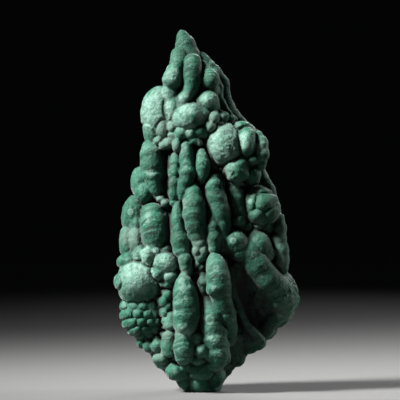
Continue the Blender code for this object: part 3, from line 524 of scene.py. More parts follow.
# heights and how far things stray come first, then the length that this changes over, in millimetres
BREAK_NOISE = (0.45, 7.0)  # the break's unevenness
BREAK_STEPS = (0.35, 2.3)  # and its steps from one growth layer to the next
WARP = (0.55, 8.0)  # how the whole growth strays from even shapes
BUBBLES = ((0.11, 2.8), (0.07, 1.5))  # the small domes on every lobe
DOMES_STRAY = (0.9, 1.9)
WRINKLES = ((0.20, 2.4), (0.13, 1.2))  # the uneven crust over them
DOME_SEEDS = (0.1, 0.9)  # where in its cell each dome may lie
DOME_EDGE, DOME_LEVEL = 0.55, 0.6  # the creases' width, and the share of a dome under the even surface
PATCHY, PATCHY_RANGE = (0.75, 0.7, 11.0), (0.15, 1.3)  # the roughness's mean, swing and size
CRUMBLED_BY = 2.2  # how much rougher the crumbled places are
FINGER_BUBBLES, SMOOTH_BUBBLES = 0.35, 0.3  # a finger's share of the roughness, and a smooth chain's of that
BREAK_FADE, BASE_FADE, TIP_FADE = 0.5, 2.0, 9.0  # it fades out this near the breaks and the top
BASE_SNAP, SLOPE_STEP = 0.3, 0.6  # in grid steps
SMOOTH_CHAINS = [FINGERS.get(name) or BARE_FINGERS.get(name) for name in SMOOTH_FINGERS]


def blended(table, cell, share):
    """the table's values at the eight corners of each cell, blended by the shares"""
    total = np.zeros(len(cell))
    for corner in np.ndindex(2, 2, 2):
        weight = np.prod(np.where(corner, share, 1.0 - share), axis=1)
        total += weight * table[tuple((cell + corner).T)]
    return total


def lattice_noise(points, size, draw):
    """smooth random values from -1 to 1 that change over about this many millimetres"""
    place = (points - points.min(axis=0)) / size
    cell = place.astype(int)
    share = place - cell
    share = share * share * (3.0 - 2.0 * share)
    return blended(draw.uniform(-1.0, 1.0, cell.max(axis=0) + 2), cell, share)


def lattice_vectors(points, size, draw):
    """three such values for each point"""
    return np.stack([lattice_noise(points, size, draw) for _ in range(3)], 1)


def domes(points, size, draw):
    """small domes crowded together: 1 on top of each, 0 in the creases between them"""
    place = (points - points.min(axis=0)) / size
    cell = place.astype(int) + 1
    seeds = draw.uniform(*DOME_SEEDS, (*(cell.max(axis=0) + 2), 3))
    first = np.full(len(points), FAR)
    second = first.copy()
    for step in np.ndindex(3, 3, 3):
        near = cell + step - 1
        away = np.sqrt(((near - 1 + seeds[tuple(near.T)] - place) ** 2).sum(axis=1))
        second = np.minimum(second, np.maximum(first, away))
        first = np.minimum(first, away)
    edge = np.clip((second - first) / DOME_EDGE, 0.0, 1.0)
    return 1.0 - (1.0 - edge) ** 2


def sampled(block, growth, points):
    """the grid's values at any points"""
    place = np.clip(growth.place(points), 0, np.array(block.shape) - 1.001)
    cell = place.astype(int)
    return blended(block, cell, place - cell)


def reached(ways, seeds):
    """the cells that can be walked to from the seeds"""
    found = seeds & ways
    count = -1
    while found.sum() != count:
        count = found.sum()
        for axis in range(3):
            for direction in (1, -1):
                cells = np.moveaxis(found, axis, 0)[::direction]
                open_cells = np.moveaxis(ways, axis, 0)[::direction]
                for i in range(1, len(cells)):
                    cells[i] |= cells[i - 1] & open_cells[i]
    return found


def broken_off(growth, field):
    """the field cut level at the base and broken behind, without closed hollows or loose crumbs"""
    draw = np.random.default_rng(SEED + 1)
    x, y, z = growth.axes
    grid = np.stack(np.meshgrid(x, z, indexing="ij"), -1).reshape(-1, 2)
    grid = np.column_stack([grid[:, 0], np.zeros(len(grid)), grid[:, 1]])
    height, size = BREAK_NOISE
    uneven = height * lattice_noise(grid, size, draw).reshape(len(x), 1, len(z))
    step_height, step_pitch = BREAK_STEPS
    steps = step_height * np.mod(-field / step_pitch, 1.0)
    cut = np.maximum(field, (y[None, :, None] - SCAR_Y) + uneven + steps)
    cut = np.maximum(cut, -z[None, None, :])
    shell = np.zeros(field.shape, bool)
    for axis in range(3):
        np.moveaxis(shell, axis, 0)[[0, -1]] = True
    hollow = (cut >= 0) & ~reached(cut >= 0, shell)
    cut[hollow] = -0.5 * GRID_STEP
    core = np.zeros(field.shape, bool)
    core[tuple(int((at - axis[0]) / GRID_STEP) for at, axis in zip(INSIDE, growth.axes))] = True
    crumbs = (cut < 0) & ~reached(cut < 0, core)
    cut[crumbs] = 0.5 * GRID_STEP
    return cut


def surface_net(field, axes):
    """one vertex in each cell that the surface crosses, and one quad across each crossed edge"""
    inside = field < 0
    nx, ny, nz = (count - 1 for count in inside.shape)
    corners = sum(inside[i:i + nx, j:j + ny, k:k + nz].astype(np.int8) for i, j, k in np.ndindex(2, 2, 2))
    cells = np.argwhere((corners > 0) & (corners < 8))
    index = np.full(corners.shape, -1, np.int32)
    index[tuple(cells.T)] = np.arange(len(cells))
    total = np.zeros((len(cells), 3))
    count = np.zeros(len(cells))
    for axis in range(3):
        along = np.eye(3, dtype=int)[axis]
        for corner in np.ndindex(2, 2, 2):
            if corner[axis]:
                continue
            start = cells + corner
            a, b = field[tuple(start.T)], field[tuple((start + along).T)]
            crossed = (a < 0) != (b < 0)
            share = np.where(crossed, a / np.where(crossed, a - b, 1.0), 0.0)
            total += np.where(crossed[:, None], start + along * share[:, None], 0.0)
            count += crossed
    low = np.array([axis[0] for axis in axes])
    vertices = low + GRID_STEP * total / count[:, None]
    quads = []
    for axis in range(3):
        one, other = (axis + 1) % 3, (axis + 2) % 3
        first, second = np.eye(3, dtype=int)[one], np.eye(3, dtype=int)[other]
        ahead = np.take(inside, range(1, inside.shape[axis]), axis=axis)
        here = np.take(inside, range(inside.shape[axis] - 1), axis=axis)
        edges = np.argwhere(here != ahead)
        edges = edges[(edges @ first > 0) & (edges @ second > 0)]
        edges = edges[(edges @ first < corners.shape[one]) & (edges @ second < corners.shape[other])]
        ring = [edges - first - second, edges - second, edges, edges - first]
        quad = np.stack([index[tuple(cell.T)] for cell in ring], 1)
        leaving = here[tuple(edges.T)]
        quads.append(np.where(leaving[:, None], quad, quad[:, ::-1]))
    return vertices, np.concatenate(quads)


def outward(field, growth, points):
    """the field's slope: the way out of the stone at each point"""
    steps = SLOPE_STEP * GRID_STEP * np.eye(3)
    slope = np.stack([sampled(field, growth, points + step) - sampled(field, growth, points - step)
                      for step in steps], 1)
    return slope / (np.linalg.norm(slope, axis=1, keepdims=True) + TINY)


def owners_at(growth, points):
    """the number of the chain or lobe that each point belongs to, or -1"""
    cell = np.clip(np.rint(growth.place(points)).astype(int), 0, np.array(growth.owner.shape) - 1)
    return growth.owner[tuple(cell.T)]


def roughened(growth, field, cut, points):
    """the vertices moved off their even shapes, with small domes raised on all that isn't cut"""
    draw = np.random.default_rng(SEED + 2)
    out = outward(cut, growth, points)
    grown = np.clip(1.0 + sampled(field, growth, points) / BREAK_FADE, 0.0, 1.0)
    grown = grown * np.clip(points[:, 2] / BASE_FADE, 0.0, 1.0)
    owners = owners_at(growth, points)
    smooth = np.array([chain in SMOOTH_CHAINS for chain in growth.chains] + [False])
    share = np.where(growth.on_finger(owners), FINGER_BUBBLES, 1.0)
    share = share * np.where(smooth[owners], SMOOTH_BUBBLES, 1.0)
    mean, swing, size = PATCHY
    patchy = np.clip(mean + swing * lattice_noise(points, size, draw), *PATCHY_RANGE)
    raised = np.zeros(len(points))
    far, size = DOMES_STRAY
    strayed = points + far * lattice_vectors(points, size, draw)
    for height, size in BUBBLES:
        raised += height * (domes(strayed, size, draw) - DOME_LEVEL)
    raised *= 1.0 + CRUMBLED_BY * patch_shares(points, CRUMBLED)
    for height, size in WRINKLES:
        raised += height * lattice_noise(points, size, draw)
    moved = points + out * (raised * share * patchy * grown)[:, None]
    far, size = WARP
    grown = grown * np.clip((GRID_HIGH[2] - points[:, 2]) / TIP_FADE, 0.0, 1.0)
    return moved + far * lattice_vectors(points, size, draw) * grown[:, None]


def shaped_mesh(growth, field):
    """the growth's mesh, thinned to the most triangles that it may have"""
    cut = broken_off(growth, field)
    vertices, quads = surface_net(cut, growth.axes)
    vertices = roughened(growth, field, cut, vertices)
    vertices[vertices[:, 2] < BASE_SNAP * GRID_STEP, 2] = 0.0
    fine = bpy.data.meshes.new("fine_growth")
    fine.from_pydata((vertices * MM).tolist(), [], quads.tolist())
    carrier = placed("fine_growth", fine)
    thinner = carrier.modifiers.new("fewer_triangles", "DECIMATE")
    thinner.ratio = min(1.0, MOST_TRIANGLES / (2 * len(quads)))
    thinner.use_collapse_triangulate = True
    thinned_out = carrier.evaluated_get(bpy.context.evaluated_depsgraph_get())
    made = bpy.data.meshes.new_from_object(thinned_out)
    bpy.data.objects.remove(carrier)
    bpy.data.meshes.remove(fine)
    made.name = "malachite_growth"
    return smoothed(made)


# ------------------------ what the finish follows

# small round marks where a layer shows its rings: x, z, radius, seen from the front
EYES = [
    (-30.8, 44.4, 1.7), (-26.4, 44.8, 1.6), (-30, 42.2, 1), (-8.8, 42.4, 1.9), (-9.6, 26, 2.5),
    (-23.2, 70.4, 1.6), (-23, 67.6, 1.1), (19.2, 54.8, 1.7), (24, 49.6, 1.3), (-16.6, 30, 1.5),
    (-4.8, 33.6, 1.3), (1.4, 29.2, 2.5), (3.2, 20.4, 1.4), (-2, 17.2, 1.4), (4, 49.6, 1.4), (3.4, 42, 1.5),
    (10.4, 60.4, 1.4), (13.4, 58, 1.1), (-8, 38.4, 1.2), (5.2, 15.6, 1.5), (-10.8, 17.4, 1.2),
    (-8.2, 15.6, 1), (-8, 96.8, 1.5), (8, 97.6, 1.5), (-13.2, 125, 1.6), (-22.4, 108, 1.5),
    (-30.4, 71.2, 1.4), (33.4, 38.4, 1.5), (21.4, 45.6, 1.2), (-12.2, 8.2, 1.6),
]
# where grey dust has settled: x, z, radius, seen from the front
DUSTY = [
    (4, 107.4, 4.5), (-16.6, 98.6, 5), (-13.8, 105.6, 2.2), (-2.6, 57.6, 4.8), (-29.6, 61.6, 4.5),
    (-7.2, 47.6, 2.4), (-11.6, 96.8, 3), (-9.4, 75, 2), (7.6, 86.4, 3), (13.4, 82, 2.4), (20.2, 65.6, 2.6),
    (-17.6, 76.8, 3), (-14.6, 23.6, 3.6), (-19, 14.4, 3), (-1.4, 109, 2.6), (-2, 50, 3), (-1.4, 99, 2.4),
    (-17.4, 105, 3.6), (29.6, 62, 4), (30.2, 53, 4), (33, 36, 3), (30.4, 31, 3),
]
# painted shadow: near black where shadow falls in the hollow under the wing and in the gaps between the
# fingers: x, z, radius, seen from the front
PAINTED_SHADOW_PATCHES = [
    (20, 35, 8), (14.6, 42, 4.5), (24.6, 31, 6), (18, 26, 4.5), (-15.6, 84, 2.6), (-15.2, 90, 2.2),
    (-9.8, 69, 1.4), (-3.6, 44, 1.6), (-14.2, 66, 1.6), (17, 19, 7), (12, 12, 5), (25, 24, 5),
]
# where the coat is palest, laid on the balls and shoulder that face the light, so partly a pale coat and
# partly painted light: x, z, radius, seen from the front
PALE_COAT_AND_LIGHT_PATCHES = [
    (-19, 112, 10), (-7.6, 110, 6), (-13.6, 125.4, 4), (-10.6, 116, 5), (-27, 46, 9.5), (-22, 54, 6),
    (-15.6, 51, 5.5), (7, 98.4, 9), (16, 100, 5), (22, 97, 4), (-6.2, 106, 4), (1, 116, 3), (-22, 87.6, 2.4),
    (-8.4, 24, 3), (3.4, 22, 3),
]
# painted shade: where the coat is darkened to stand for the shade on the middle fingers, the tip and other
# places that lie in shade: x, z, radius, seen from the front
PAINTED_SHADE_PATCHES = [
    (-4.6, 74, 5), (-4.2, 66, 5), (4.6, 76, 6), (5.6, 66, 6), (11.6, 59, 6), (12, 73, 5), (22, 73, 9),
    (18, 52, 6), (25, 44, 6), (23, 57, 5), (-8.2, 139, 8), (-21.6, 92, 4), (-20.8, 63, 4), (-28, 72, 5),
    (-28, 60, 4), (5, 48, 4), (8, 33, 4), (1, 122, 4), (-24, 24, 4), (-5.2, 128, 4), (-10.4, 62, 4),
    (-8, 52, 3), (2.8, 62, 3), (-7.6, 85, 4), (-12.4, 82, 3), (-7, 38, 3.6), (-6.6, 31, 3.6), (6.6, 40, 3.6),
    (4.6, 26, 3.4),
]
# where the crust is crumbled into small nodules: x, z, radius, seen from the front
CRUMBLED = [
    (12, 87, 5), (18.6, 86, 3), (-19.6, 41, 3.5), (31, 37, 4), (30, 58, 6), (29.4, 50, 4), (4.4, 20, 4.5),
    (5, 14, 4), (12.2, 73, 5), (11.6, 57, 3), (-16, 34, 3),
]
EYE_REACH = 3.0  # in the eye's own radii
EYE_FACING, EYE_NEAR = -0.2, 1.2  # its skin's outward y is below that, and it is found this near
SEEDED_EYES, SEEDED_EYE_RISE = 60, 0.1  # these lie where the skin's outward z is above that
SEEDED_EYE_RADII = (0.9, 1.8)
RING_DRAPE, DRAPE_MOST = 1.6, 1.4  # how far a finger's rings hang down at its sides
CROWN_LEAN = (1.0, -4.0, 4.0)  # with a lobe's own x and y, the way from its middle to its rings' middle
PATCH_EDGE = (1.6, 1.2)  # a patch's share in its middle, and its fall for each radius
SMOOTH_RIPPLE = 0.1  # the ripple mark on everything but fingers
NO_CHAIN_TONE = 0.5
PALE_BEHIND = (4.0, 0.5)  # behind this y, the coat is at least this pale
CREASE_BLUR, RECESS_BLUR = 1.4, 4.0  # millimetres round a point that each mark looks at
RECESS_OUT = 1.5  # and how far out of the skin


def ring_lengths(growth, owners, points):
    """how far along its finger, or from the crown of its lobe, each point lies, in millimetres"""
    rings = np.zeros(len(points))
    for number, chain in enumerate(growth.chains):
        mine = np.flatnonzero(owners == number)
        place = points[mine]
        if len(chain) == 1:
            centre = np.array(chain[0][:3])
            crown = np.array([*centre[:2], 0.0]) + CROWN_LEAN
            crown /= np.linalg.norm(crown)
            away = place - centre
            upright = away @ crown / (np.linalg.norm(away, axis=1) + TINY)
            rings[mine] = chain[0][3] * np.arccos(np.clip(upright, -1.0, 1.0))
            continue
        nearest = np.full(len(mine), np.inf)
        start = 0.0
        for upper, lower in zip(chain[:-1], chain[1:]):
            a, b = np.array(upper[:3]), np.array(lower[:3])
            length = math.dist(a, b)
            share = (place - a) @ (b - a) / length ** 2
            held = np.clip(share, 0.0, 1.0)
            away = np.linalg.norm(place - a - held[:, None] * (b - a), axis=1)
            free = np.where(((share < 0) & (start == 0.0)) | (share > 1), share, held)
            across = (place[:, 0] - a[0] - held * (b - a)[0]) / (0.5 * (upper[3] + lower[3]))
            drape = RING_DRAPE * np.minimum(across * across, DRAPE_MOST)
            rings[mine] = np.where(away < nearest, start + free * length - drape, rings[mine])
            nearest = np.minimum(nearest, away)
            start += length
    return rings


def eye_distances(points, outs, draw):
    """distance from the nearest eye, in that eye's radii"""
    distance = np.full(len(points), EYE_REACH)
    front = outs[:, 1] < EYE_FACING
    for x, z, radius in EYES:
        off = np.hypot(points[:, 0] - x, points[:, 2] - z)
        near = np.flatnonzero(front & (off < EYE_NEAR))
        if len(near):
            centre = points[near[np.argmin(points[near, 1] + off[near])]]
            distance = np.minimum(distance, np.linalg.norm(points - centre, axis=1) / radius)
    risen = np.flatnonzero(outs[:, 2] > SEEDED_EYE_RISE)
    for place in points[draw.choice(risen, SEEDED_EYES, replace=False)]:
        off = np.linalg.norm(points - place, axis=1)
        distance = np.minimum(distance, off / draw.uniform(*SEEDED_EYE_RADII))
    return distance


def patch_shares(points, patches):
    """1 within each patch on the front, less round it"""
    share = np.zeros(len(points))
    start, fall = PATCH_EDGE
    for x, z, radius in patches:
        off = np.hypot(points[:, 0] - x, points[:, 2] - z) / radius
        share = np.maximum(share, np.clip(start - fall * off, 0.0, 1.0) * (points[:, 1] < 0))
    return share


def read_vectors(source, name):
    """the vector on each of the source's items, as rows"""
    rows = np.empty(3 * len(source))
    source.foreach_get(name, rows)
    return rows.reshape(-1, 3)


def mark_finish(mesh, growth, field):
    """values on each vertex that the material reads"""
    points = read_vectors(mesh.vertices, "co") / MM
    outs = read_vectors(mesh.vertex_normals, "vector")
    draw = np.random.default_rng(SEED + 3)
    owners = owners_at(growth, points)
    tones = np.append(draw.uniform(0.0, 1.0, len(growth.chains)), NO_CHAIN_TONE)
    pale_from, palest = PALE_BEHIND
    values = {
        "ring": ring_lengths(growth, owners, points),
        "tone": tones[owners],
        "ripple": np.where(growth.on_finger(owners), 1.0, SMOOTH_RIPPLE),
        "eye": eye_distances(points, outs, draw),
        "dust": patch_shares(points, DUSTY),
        # painted shadow patches
        "painted_shadow": patch_shares(points, PAINTED_SHADOW_PATCHES),
        # painted shade patches
        "painted_shade": patch_shares(points, PAINTED_SHADE_PATCHES),
        # a pale coat, partly painted light on the lit balls and shoulder
        "pale_and_lit": np.maximum(patch_shares(points, PALE_COAT_AND_LIGHT_PATCHES), palest * (points[:, 1] > pale_from)),
        # how much stone crowds round each point, for the painted shade in the creases
        "crease": sampled(stone_around(field, CREASE_BLUR), growth, points),
        # how much stone is round each point just outside the skin: for dust, wear and painted shade in the
        # recesses
        "recess": sampled(stone_around(field, RECESS_BLUR), growth, points + RECESS_OUT * outs),
        "broken": -sampled(field, growth, points),
    }
    for name, value in values.items():
        mark = mesh.attributes.new(name, "FLOAT", "POINT")
        mark.data.foreach_set("value", value.astype(np.float32))


# ------------------------ the finish

VELVET = (0.022, 0.086, 0.056)
MINT = (0.118, 0.208, 0.166)
PALE_RING = (0.070, 0.158, 0.120)
EMERALD = (0.009, 0.082, 0.045)
MID_GREEN = (0.007, 0.067, 0.040)
# painted shade: the colour under it is multiplied by this where the shade is painted
PAINTED_SHADE_TINT = (0.38, 0.55, 0.49)  # times the colour under it
# DEEP_GREEN and DARK_GREEN also colour the painted shade in the creases, and DARK_GREEN the painted shade in
# deep recesses
DEEP_GREEN = (0.0025, 0.025, 0.016)
DARK_GREEN = (0.0015, 0.008, 0.005)
DUST = (0.070, 0.112, 0.090)
# painted shadow: the near-black colour laid where shadow falls
PAINTED_SHADOW_COLOUR = (0.006, 0.007, 0.006)
FLOOR_COLOUR = (0.105, 0.105, 0.103)
FLOOR_SPECKS = 0.9  # times the floor's colour
# the colours from one value of a noise to the next
RING_COLOURS = [(0.36, DEEP_GREEN), (0.44, MID_GREEN), (0.49, VELVET), (0.53, PALE_RING), (0.57, VELVET),
                (0.60, MID_GREEN), (0.67, DEEP_GREEN)]
EYE_COLOURS = [(0.36, DEEP_GREEN), (0.46, MINT), (0.52, MID_GREEN), (0.60, MINT)]
BREAK_COLOURS = [(0.32, DARK_GREEN), (0.42, DEEP_GREEN), (0.50, MID_GREEN), (0.58, VELVET),
                 (0.68, DEEP_GREEN)]
# each noise: its size in millimetres, detail and roughness
NOISES = {
    "patch": (7.0, 3.0, 0.55), "mottle": (1.6, 4.0, 0.65), "grain": (0.35, 3.0, 0.7),
    "wander": (2.4, 2.0, 0.55), "bands": (2.8, 3.0, 0.72), "banded": (5.0, 2.0, 0.55),
    "vivid": (3.2, 3.0, 0.55), "eye_rings": (1.0, 1.0, 0.6), "layers": (0.9, 3.0, 0.6),
    "ripple": (1.3, 1.5, 0.6), "stray": (1.4, 2.0, 0.5), "floor": (4.0, 4.0, 0.55),
}
BUBBLE_SIZE, BUBBLE_SMOOTHNESS = 1.3, 0.3
BUBBLE_STRAY = 1.6  # how far the stray noise moves the bubbles' edges, millimetres
# each span: the values that it runs between, and what it gives at them, where that isn't 0 and 1
SPANS = {
    "coat": (0.28, 0.85), "greener": (0.38, 0.62), "worn": (0.26, 0.42),
    "fingers_banded": (0.1, 1.0, 0.35, 1.0), "banded": (0.34, 0.56, 0.25, 1.0),
    "pale_banded": (0.0, 1.0, 1.0, 0.3), "worn_banded": (0.0, 1.0, 1.0, 0.35),
    "vivid": (0.44, 0.56, 0.0, 0.9), "worn_vivid": (0.0, 1.0, 1.0, 0.2), "pale_vivid": (0.0, 1.0, 1.0, 0.35),
    "painted_shade": (0.35, 0.62, 1.0, 0.6), "bubble": (0.42, 0.80, 0.0, 0.42), "crease": (0.53, 0.66, 0.0, 0.8),
    "dusty_recess": (0.40, 0.55, 0.0, 0.4), "dust_mottle": (0.30, 0.62, 0.35, 1.0),
    "painted_recess_shade": (0.43, 0.62, 0.0, 0.88), "painted_shadow": (0.80, 1.10, 0.5, 0.95), "eye": (0.85, 1.15, 0.6, 0.0),
    "broken": (0.35, 0.8), "pale_grain": (0.58, 0.70, 0.0, 0.45), "rough": (0.3, 0.7, 0.56, 0.78),
    "floor": (0.2, 0.8, 0.0, 0.25),
}
# what each of these is multiplied by before it is added in
WEIGHTS = {
    "wander": 1.5, "band_shift": 37.0, "coat_mottle": 0.7, "coat_pale": 0.45, "green_tone": 0.14,
    "green_pale": -0.25, "worn_mottle": 0.10, "eye_shift": 11.0, "eye_pitch": 2.6, "layer_mottle": 0.5,
    "dull": 0.25,
}
BUMPS = {"ripple": 0.11, "bubble": 0.16, "mottle": 0.40, "grain": 0.08, "floor": 0.02}  # millimetres
MOST_DUST = 0.9
MALACHITE_IOR = 1.55
SPECULAR_LEVEL = 0.2
SHEEN, SHEEN_ROUGHNESS = 0.18, 0.3
FLOOR_ROUGHNESS = 0.8
MIX_A, MIX_B, MIX_RESULT = 6, 7, 2  # the colour mix node's sockets


class Finish:
    """short calls for one material's nodes"""

    def __init__(self, name):
        self.material = bpy.data.materials.new(name)
        self.material.use_nodes = True
        self.tree = self.material.node_tree
        self.surface = self.tree.nodes["Principled BSDF"]

    def plug(self, socket, value):
        """a link or a plain value into a socket"""
        if isinstance(value, bpy.types.NodeSocket):
            self.tree.links.new(value, socket)
        else:
            socket.default_value = value

    def node(self, kind, inputs=(), **settings):
        made = self.tree.nodes.new(kind)
        for name, value in settings.items():
            setattr(made, name, value)
        for name, value in dict(inputs).items():
            self.plug(made.inputs[name], value)
        return made

    def mark(self, name):
        return self.node("ShaderNodeAttribute", attribute_name=name).outputs["Fac"]

    def place(self):
        """the point in millimetres"""
        metres = self.node("ShaderNodeTexCoord").outputs["Object"]
        scaled = self.node("ShaderNodeVectorMath", {0: metres, 1: (1 / MM,) * 3}, operation="MULTIPLY")
        return scaled.outputs[0]

    def noise(self, name, output="Fac", **where):
        """a noise at a Vector, or along a line at a W"""
        size, detail, roughness = NOISES[name]
        inputs = {"Scale": 1.0 / size, "Detail": detail, "Roughness": roughness, **where}
        dimensions = "1D" if "W" in where else "3D"
        return self.node("ShaderNodeTexNoise", inputs, noise_dimensions=dimensions).outputs[output]

    def bubbles(self, place):
        """the distance from the middle of each small dome, strayed so that they have no even edges"""
        far = (BUBBLE_STRAY,) * 3
        way = self.noise("stray", "Color", Vector=place)
        moved = self.node("ShaderNodeVectorMath", {0: way, 1: far, 2: place}, operation="MULTIPLY_ADD")
        inputs = {"Vector": moved.outputs[0], "Scale": 1.0 / BUBBLE_SIZE, "Smoothness": BUBBLE_SMOOTHNESS,
                  "Randomness": 1.0}
        return self.node("ShaderNodeTexVoronoi", inputs, feature="SMOOTH_F1").outputs["Distance"]

    def calc(self, operation, a, b=0.0, c=0.0):
        return self.node("ShaderNodeMath", {0: a, 1: b, 2: c}, operation=operation).outputs[0]

    def times(self, a, b):
        return self.calc("MULTIPLY", a, b)

    def weigh(self, value, name, plus=0.0):
        """the value times its named weight, added to what else there is"""
        return self.calc("MULTIPLY_ADD", value, WEIGHTS[name], plus)

    def span(self, value, name):
        low, high, low_out, high_out = (*SPANS[name], 0.0, 1.0)[:4]
        inputs = {"Value": value, "From Min": low, "From Max": high, "To Min": low_out, "To Max": high_out}
        return self.node("ShaderNodeMapRange", inputs, interpolation_type="SMOOTHSTEP").outputs[0]

    def mix(self, share, *colours, blend="MIX"):
        made = self.node("ShaderNodeMix", {"Factor": share}, data_type="RGBA", blend_type=blend)
        for socket, colour in zip((MIX_A, MIX_B), colours):
            self.plug(made.inputs[socket], (*colour, 1.0) if isinstance(colour, tuple) else colour)
        return made.outputs[MIX_RESULT]

    def ramp(self, value, stops):
        made = self.node("ShaderNodeValToRGB", {"Fac": value})
        elements = made.color_ramp.elements
        while len(elements) < len(stops):
            elements.new(0.5)
        for element, (position, colour) in zip(elements, stops):
            element.position = position
            element.color = (*colour, 1.0)
        return made.outputs["Color"]

    def bump(self, height, name, below=None):
        inputs = {"Height": height, "Distance": BUMPS[name] * MM, "Strength": 1.0}
        if below is not None:
            inputs["Normal"] = below
        return self.node("ShaderNodeBump", inputs).outputs["Normal"]

    def finish(self, **inputs):
        for name, value in inputs.items():
            self.plug(self.surface.inputs[name.replace("_", " ")], value)
        return self.material


def malachite():
    """velvety pale green layers over darker ones, ringed along each finger, with dust in the recesses,
    painted shade in the creases, recesses and shaded places, painted shadow in the hollow, and painted light
    on the lit balls
    """
    m = Finish("malachite")
    place = m.place()
    tone, pale_and_lit, recess, broken = (m.mark(name) for name in ("tone", "pale_and_lit", "recess", "broken"))
    patch, mottle, grain = (m.noise(name, Vector=place) for name in ("patch", "mottle", "grain"))

    # the coat, paler where it is pale and where painted light falls on the lit balls, greener in patches,
    # rubbed off to a vivid green on the crests
    coated = m.weigh(mottle, "coat_mottle", m.weigh(pale_and_lit, "coat_pale"))
    coat = m.mix(m.span(coated, "coat"), VELVET, MINT)
    greener = m.weigh(tone, "green_tone", m.weigh(pale_and_lit, "green_pale", patch))
    coat = m.mix(m.span(greener, "greener"), coat, MID_GREEN)
    worn = m.span(m.weigh(mottle, "worn_mottle", recess), "worn")
    vivid = m.times(m.span(m.noise("vivid", Vector=place), "vivid"), m.span(worn, "worn_vivid"))
    coat = m.mix(m.times(vivid, m.span(pale_and_lit, "pale_vivid")), coat, EMERALD)

    # the growth rings
    wander = m.weigh(m.noise("wander", Vector=place), "wander", m.mark("ring"))
    ringed = m.ramp(m.noise("bands", W=m.weigh(tone, "band_shift", wander)), RING_COLOURS)
    ripple = m.mark("ripple")
    banding = m.times(m.span(ripple, "fingers_banded"), m.span(m.noise("banded", Vector=place), "banded"))
    banding = m.times(m.times(banding, m.span(pale_and_lit, "pale_banded")), m.span(worn, "worn_banded"))
    colour = m.mix(banding, coat, ringed)

    # painted shade on the middle fingers and the tip, the edges of the small domes, painted shade in the
    # creases, dust, painted shade in the deep recesses, and painted shadow in the hollow and the gaps
    # painted shade: the coat darkened, in a mottle, where the middle fingers and the tip lie in shade
    painted_shade_share = m.times(m.mark("painted_shade"), m.span(mottle, "painted_shade"))
    colour = m.mix(painted_shade_share, colour, PAINTED_SHADE_TINT, blend="MULTIPLY")
    bubble = m.bubbles(place)
    colour = m.mix(m.span(bubble, "bubble"), colour, DEEP_GREEN)
    # painted shade: darker in the creases, where much stone crowds round the skin
    colour = m.mix(m.span(m.mark("crease"), "crease"), colour, m.mix(patch, DARK_GREEN, DEEP_GREEN))
    settled = m.calc("ADD", m.mark("dust"), m.span(recess, "dusty_recess"))
    settled = m.times(settled, m.span(mottle, "dust_mottle"))
    colour = m.mix(m.calc("MINIMUM", settled, MOST_DUST), colour, DUST)
    # painted shade: near black in the deep recesses
    colour = m.mix(m.span(recess, "painted_recess_shade"), colour, DARK_GREEN)
    # painted shadow: near black in the hollow under the wing and the gaps between the fingers, most where
    # mottle and recess are high
    painted_shadow = m.times(m.mark("painted_shadow"), m.span(m.calc("ADD", mottle, recess), "painted_shadow"))
    colour = m.mix(painted_shadow, colour, PAINTED_SHADOW_COLOUR)

    # the eyes, and the layers cut by the old break
    eye = m.mark("eye")
    eye_rings = m.noise("eye_rings", W=m.weigh(tone, "eye_shift", m.weigh(eye, "eye_pitch")))
    colour = m.mix(m.span(eye, "eye"), colour, m.ramp(eye_rings, EYE_COLOURS))
    layers = m.noise("layers", W=m.weigh(mottle, "layer_mottle", broken))
    on_break = m.span(broken, "broken")
    colour = m.mix(on_break, colour, m.ramp(layers, BREAK_COLOURS))
    colour = m.mix(m.span(grain, "pale_grain"), colour, MINT)

    skin = m.bump(m.times(m.noise("ripple", W=wander), ripple), "ripple")
    skin = m.bump(m.times(bubble, -1.0), "bubble", skin)
    skin = m.bump(mottle, "mottle", skin)
    skin = m.bump(grain, "grain", skin)
    dull = m.calc("MAXIMUM", on_break, settled)
    roughness = m.weigh(dull, "dull", m.span(mottle, "rough"))
    return m.finish(Base_Color=colour, Roughness=roughness, Normal=skin, IOR=MALACHITE_IOR,
                    Specular_IOR_Level=SPECULAR_LEVEL, Sheen_Weight=SHEEN, Sheen_Roughness=SHEEN_ROUGHNESS)


def floor_finish():
    m = Finish("floor")
    speck = m.noise("floor", Vector=m.place())
    darker = tuple(FLOOR_SPECKS * c for c in FLOOR_COLOUR)
    colour = m.mix(m.span(speck, "floor"), FLOOR_COLOUR, darker)
    return m.finish(Base_Color=colour, Roughness=FLOOR_ROUGHNESS, Normal=m.bump(speck, "floor"))


# ------------------------ the studio

FLOOR_FLAT_RADIUS, FLOOR_CURVE_RADIUS, FLOOR_GAP = 1.5, 1.0, 0.0002  # metres
FLOOR_CURVE_STEPS, FLOOR_SIDES = 12, 96
MM_PER_PIXEL = 0.4
PICTURE = 400  # pixels each way
ORIGIN_PIXEL = (206, 390)  # where the middle of the base stands in the picture
AIM = Vector((PICTURE / 2 - ORIGIN_PIXEL[0], 0.0, ORIGIN_PIXEL[1] - PICTURE / 2)) * MM_PER_PIXEL * MM
CAMERA_DISTANCE, CAMERA_ELEVATION = 1.4, 1.5  # metres, degrees
SENSOR = 36.0
# each lamp: degrees round to the camera's left and up, its size in metres, watts, and spread in degrees
LAMPS = {
    "key": (66.0, 42.0, 0.30, 2.18, 24.0),
    "rim": (-112.0, 24.0, 0.4, 0.62, 40.0),
    "back": (-160.0, 26.0, 0.5, 0.45, 40.0),
}
LAMP_DISTANCE = 1.2
WORLD_COLOUR, WORLD_STRENGTH = (0.9, 0.95, 1.0, 1.0), 0.012


def placed(name, data):
    """an object that holds the data, in the scene"""
    made = bpy.data.objects.new(name, data)
    bpy.context.scene.collection.objects.link(made)
    return made


def smoothed(mesh):
    mesh.polygons.foreach_set("use_smooth", [True] * len(mesh.polygons))
    return mesh


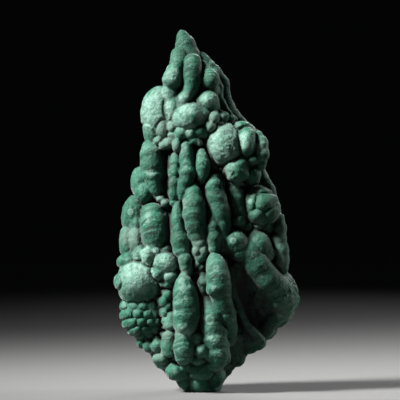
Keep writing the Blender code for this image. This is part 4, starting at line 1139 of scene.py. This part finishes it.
def add_floor():
    """a round pale floor that curves up into a wall all round"""
    rims = [(FLOOR_FLAT_RADIUS, 0.0)]
    for step in range(1, FLOOR_CURVE_STEPS + 1):
        turn = 0.5 * math.pi * step / FLOOR_CURVE_STEPS
        radius = FLOOR_FLAT_RADIUS + FLOOR_CURVE_RADIUS * math.sin(turn)
        rims.append((radius, FLOOR_CURVE_RADIUS * (1 - math.cos(turn))))
    vertices = [(0.0, 0.0, -FLOOR_GAP)]
    for radius, height in rims:
        for side in range(FLOOR_SIDES):
            turn = 2 * math.pi * side / FLOOR_SIDES
            vertices.append((radius * math.cos(turn), radius * math.sin(turn), height - FLOOR_GAP))
    faces = []
    for side in range(FLOOR_SIDES):
        a, b = 1 + side, 1 + (side + 1) % FLOOR_SIDES
        faces.append((0, a, b))
        for rim in range(FLOOR_CURVE_STEPS):
            inner, outer = rim * FLOOR_SIDES, (rim + 1) * FLOOR_SIDES
            faces.append((a + inner, a + outer, b + outer, b + inner))
    mesh = bpy.data.meshes.new("floor")
    mesh.from_pydata(vertices, [], faces)
    mesh.materials.append(floor_finish())
    floor = placed("floor", smoothed(mesh))


def add_aimed(name, data, side, elevation, distance):
    """a lamp or camera aimed at the growth, so many degrees round to the left and up"""
    turn, rise = math.radians(side), math.radians(elevation)
    way = Vector((-math.sin(turn) * math.cos(rise), -math.cos(turn) * math.cos(rise), math.sin(rise)))
    made = placed(name, data)
    made.location = AIM + way * distance
    made.rotation_euler = (-way).to_track_quat("-Z", "Y").to_euler()
    return made


def add_lamp(name, side, elevation, size, power, spread):
    """a soft square lamp"""
    data = bpy.data.lights.new(name, "AREA")
    data.size = size
    data.energy = power
    data.spread = math.radians(spread)
    add_aimed(name, data, side, elevation, LAMP_DISTANCE).visible_camera = False


def add_camera():
    data = bpy.data.cameras.new("camera")
    data.sensor_width = SENSOR
    data.lens = SENSOR * CAMERA_DISTANCE / (PICTURE * MM_PER_PIXEL * MM)
    bpy.context.scene.camera = add_aimed("camera", data, 0.0, CAMERA_ELEVATION, CAMERA_DISTANCE)


def light_world():
    world = bpy.data.worlds.new("studio")
    world.use_nodes = True
    background = world.node_tree.nodes["Background"]
    background.inputs["Color"].default_value = WORLD_COLOUR
    background.inputs["Strength"].default_value = WORLD_STRENGTH
    bpy.context.scene.world = world


def build():
    growth, field = grow()
    mesh = shaped_mesh(growth, field)
    mark_finish(mesh, growth, field)
    mesh.materials.append(malachite())
    piece = placed("malachite_growth", mesh)
    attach(piece, "root")
    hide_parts("specimen")
    add_floor()
    add_camera()
    for name, lamp in LAMPS.items():
        add_lamp(name, *lamp)
    light_world()
    bpy.context.scene.view_settings.view_transform = "Standard"


build()
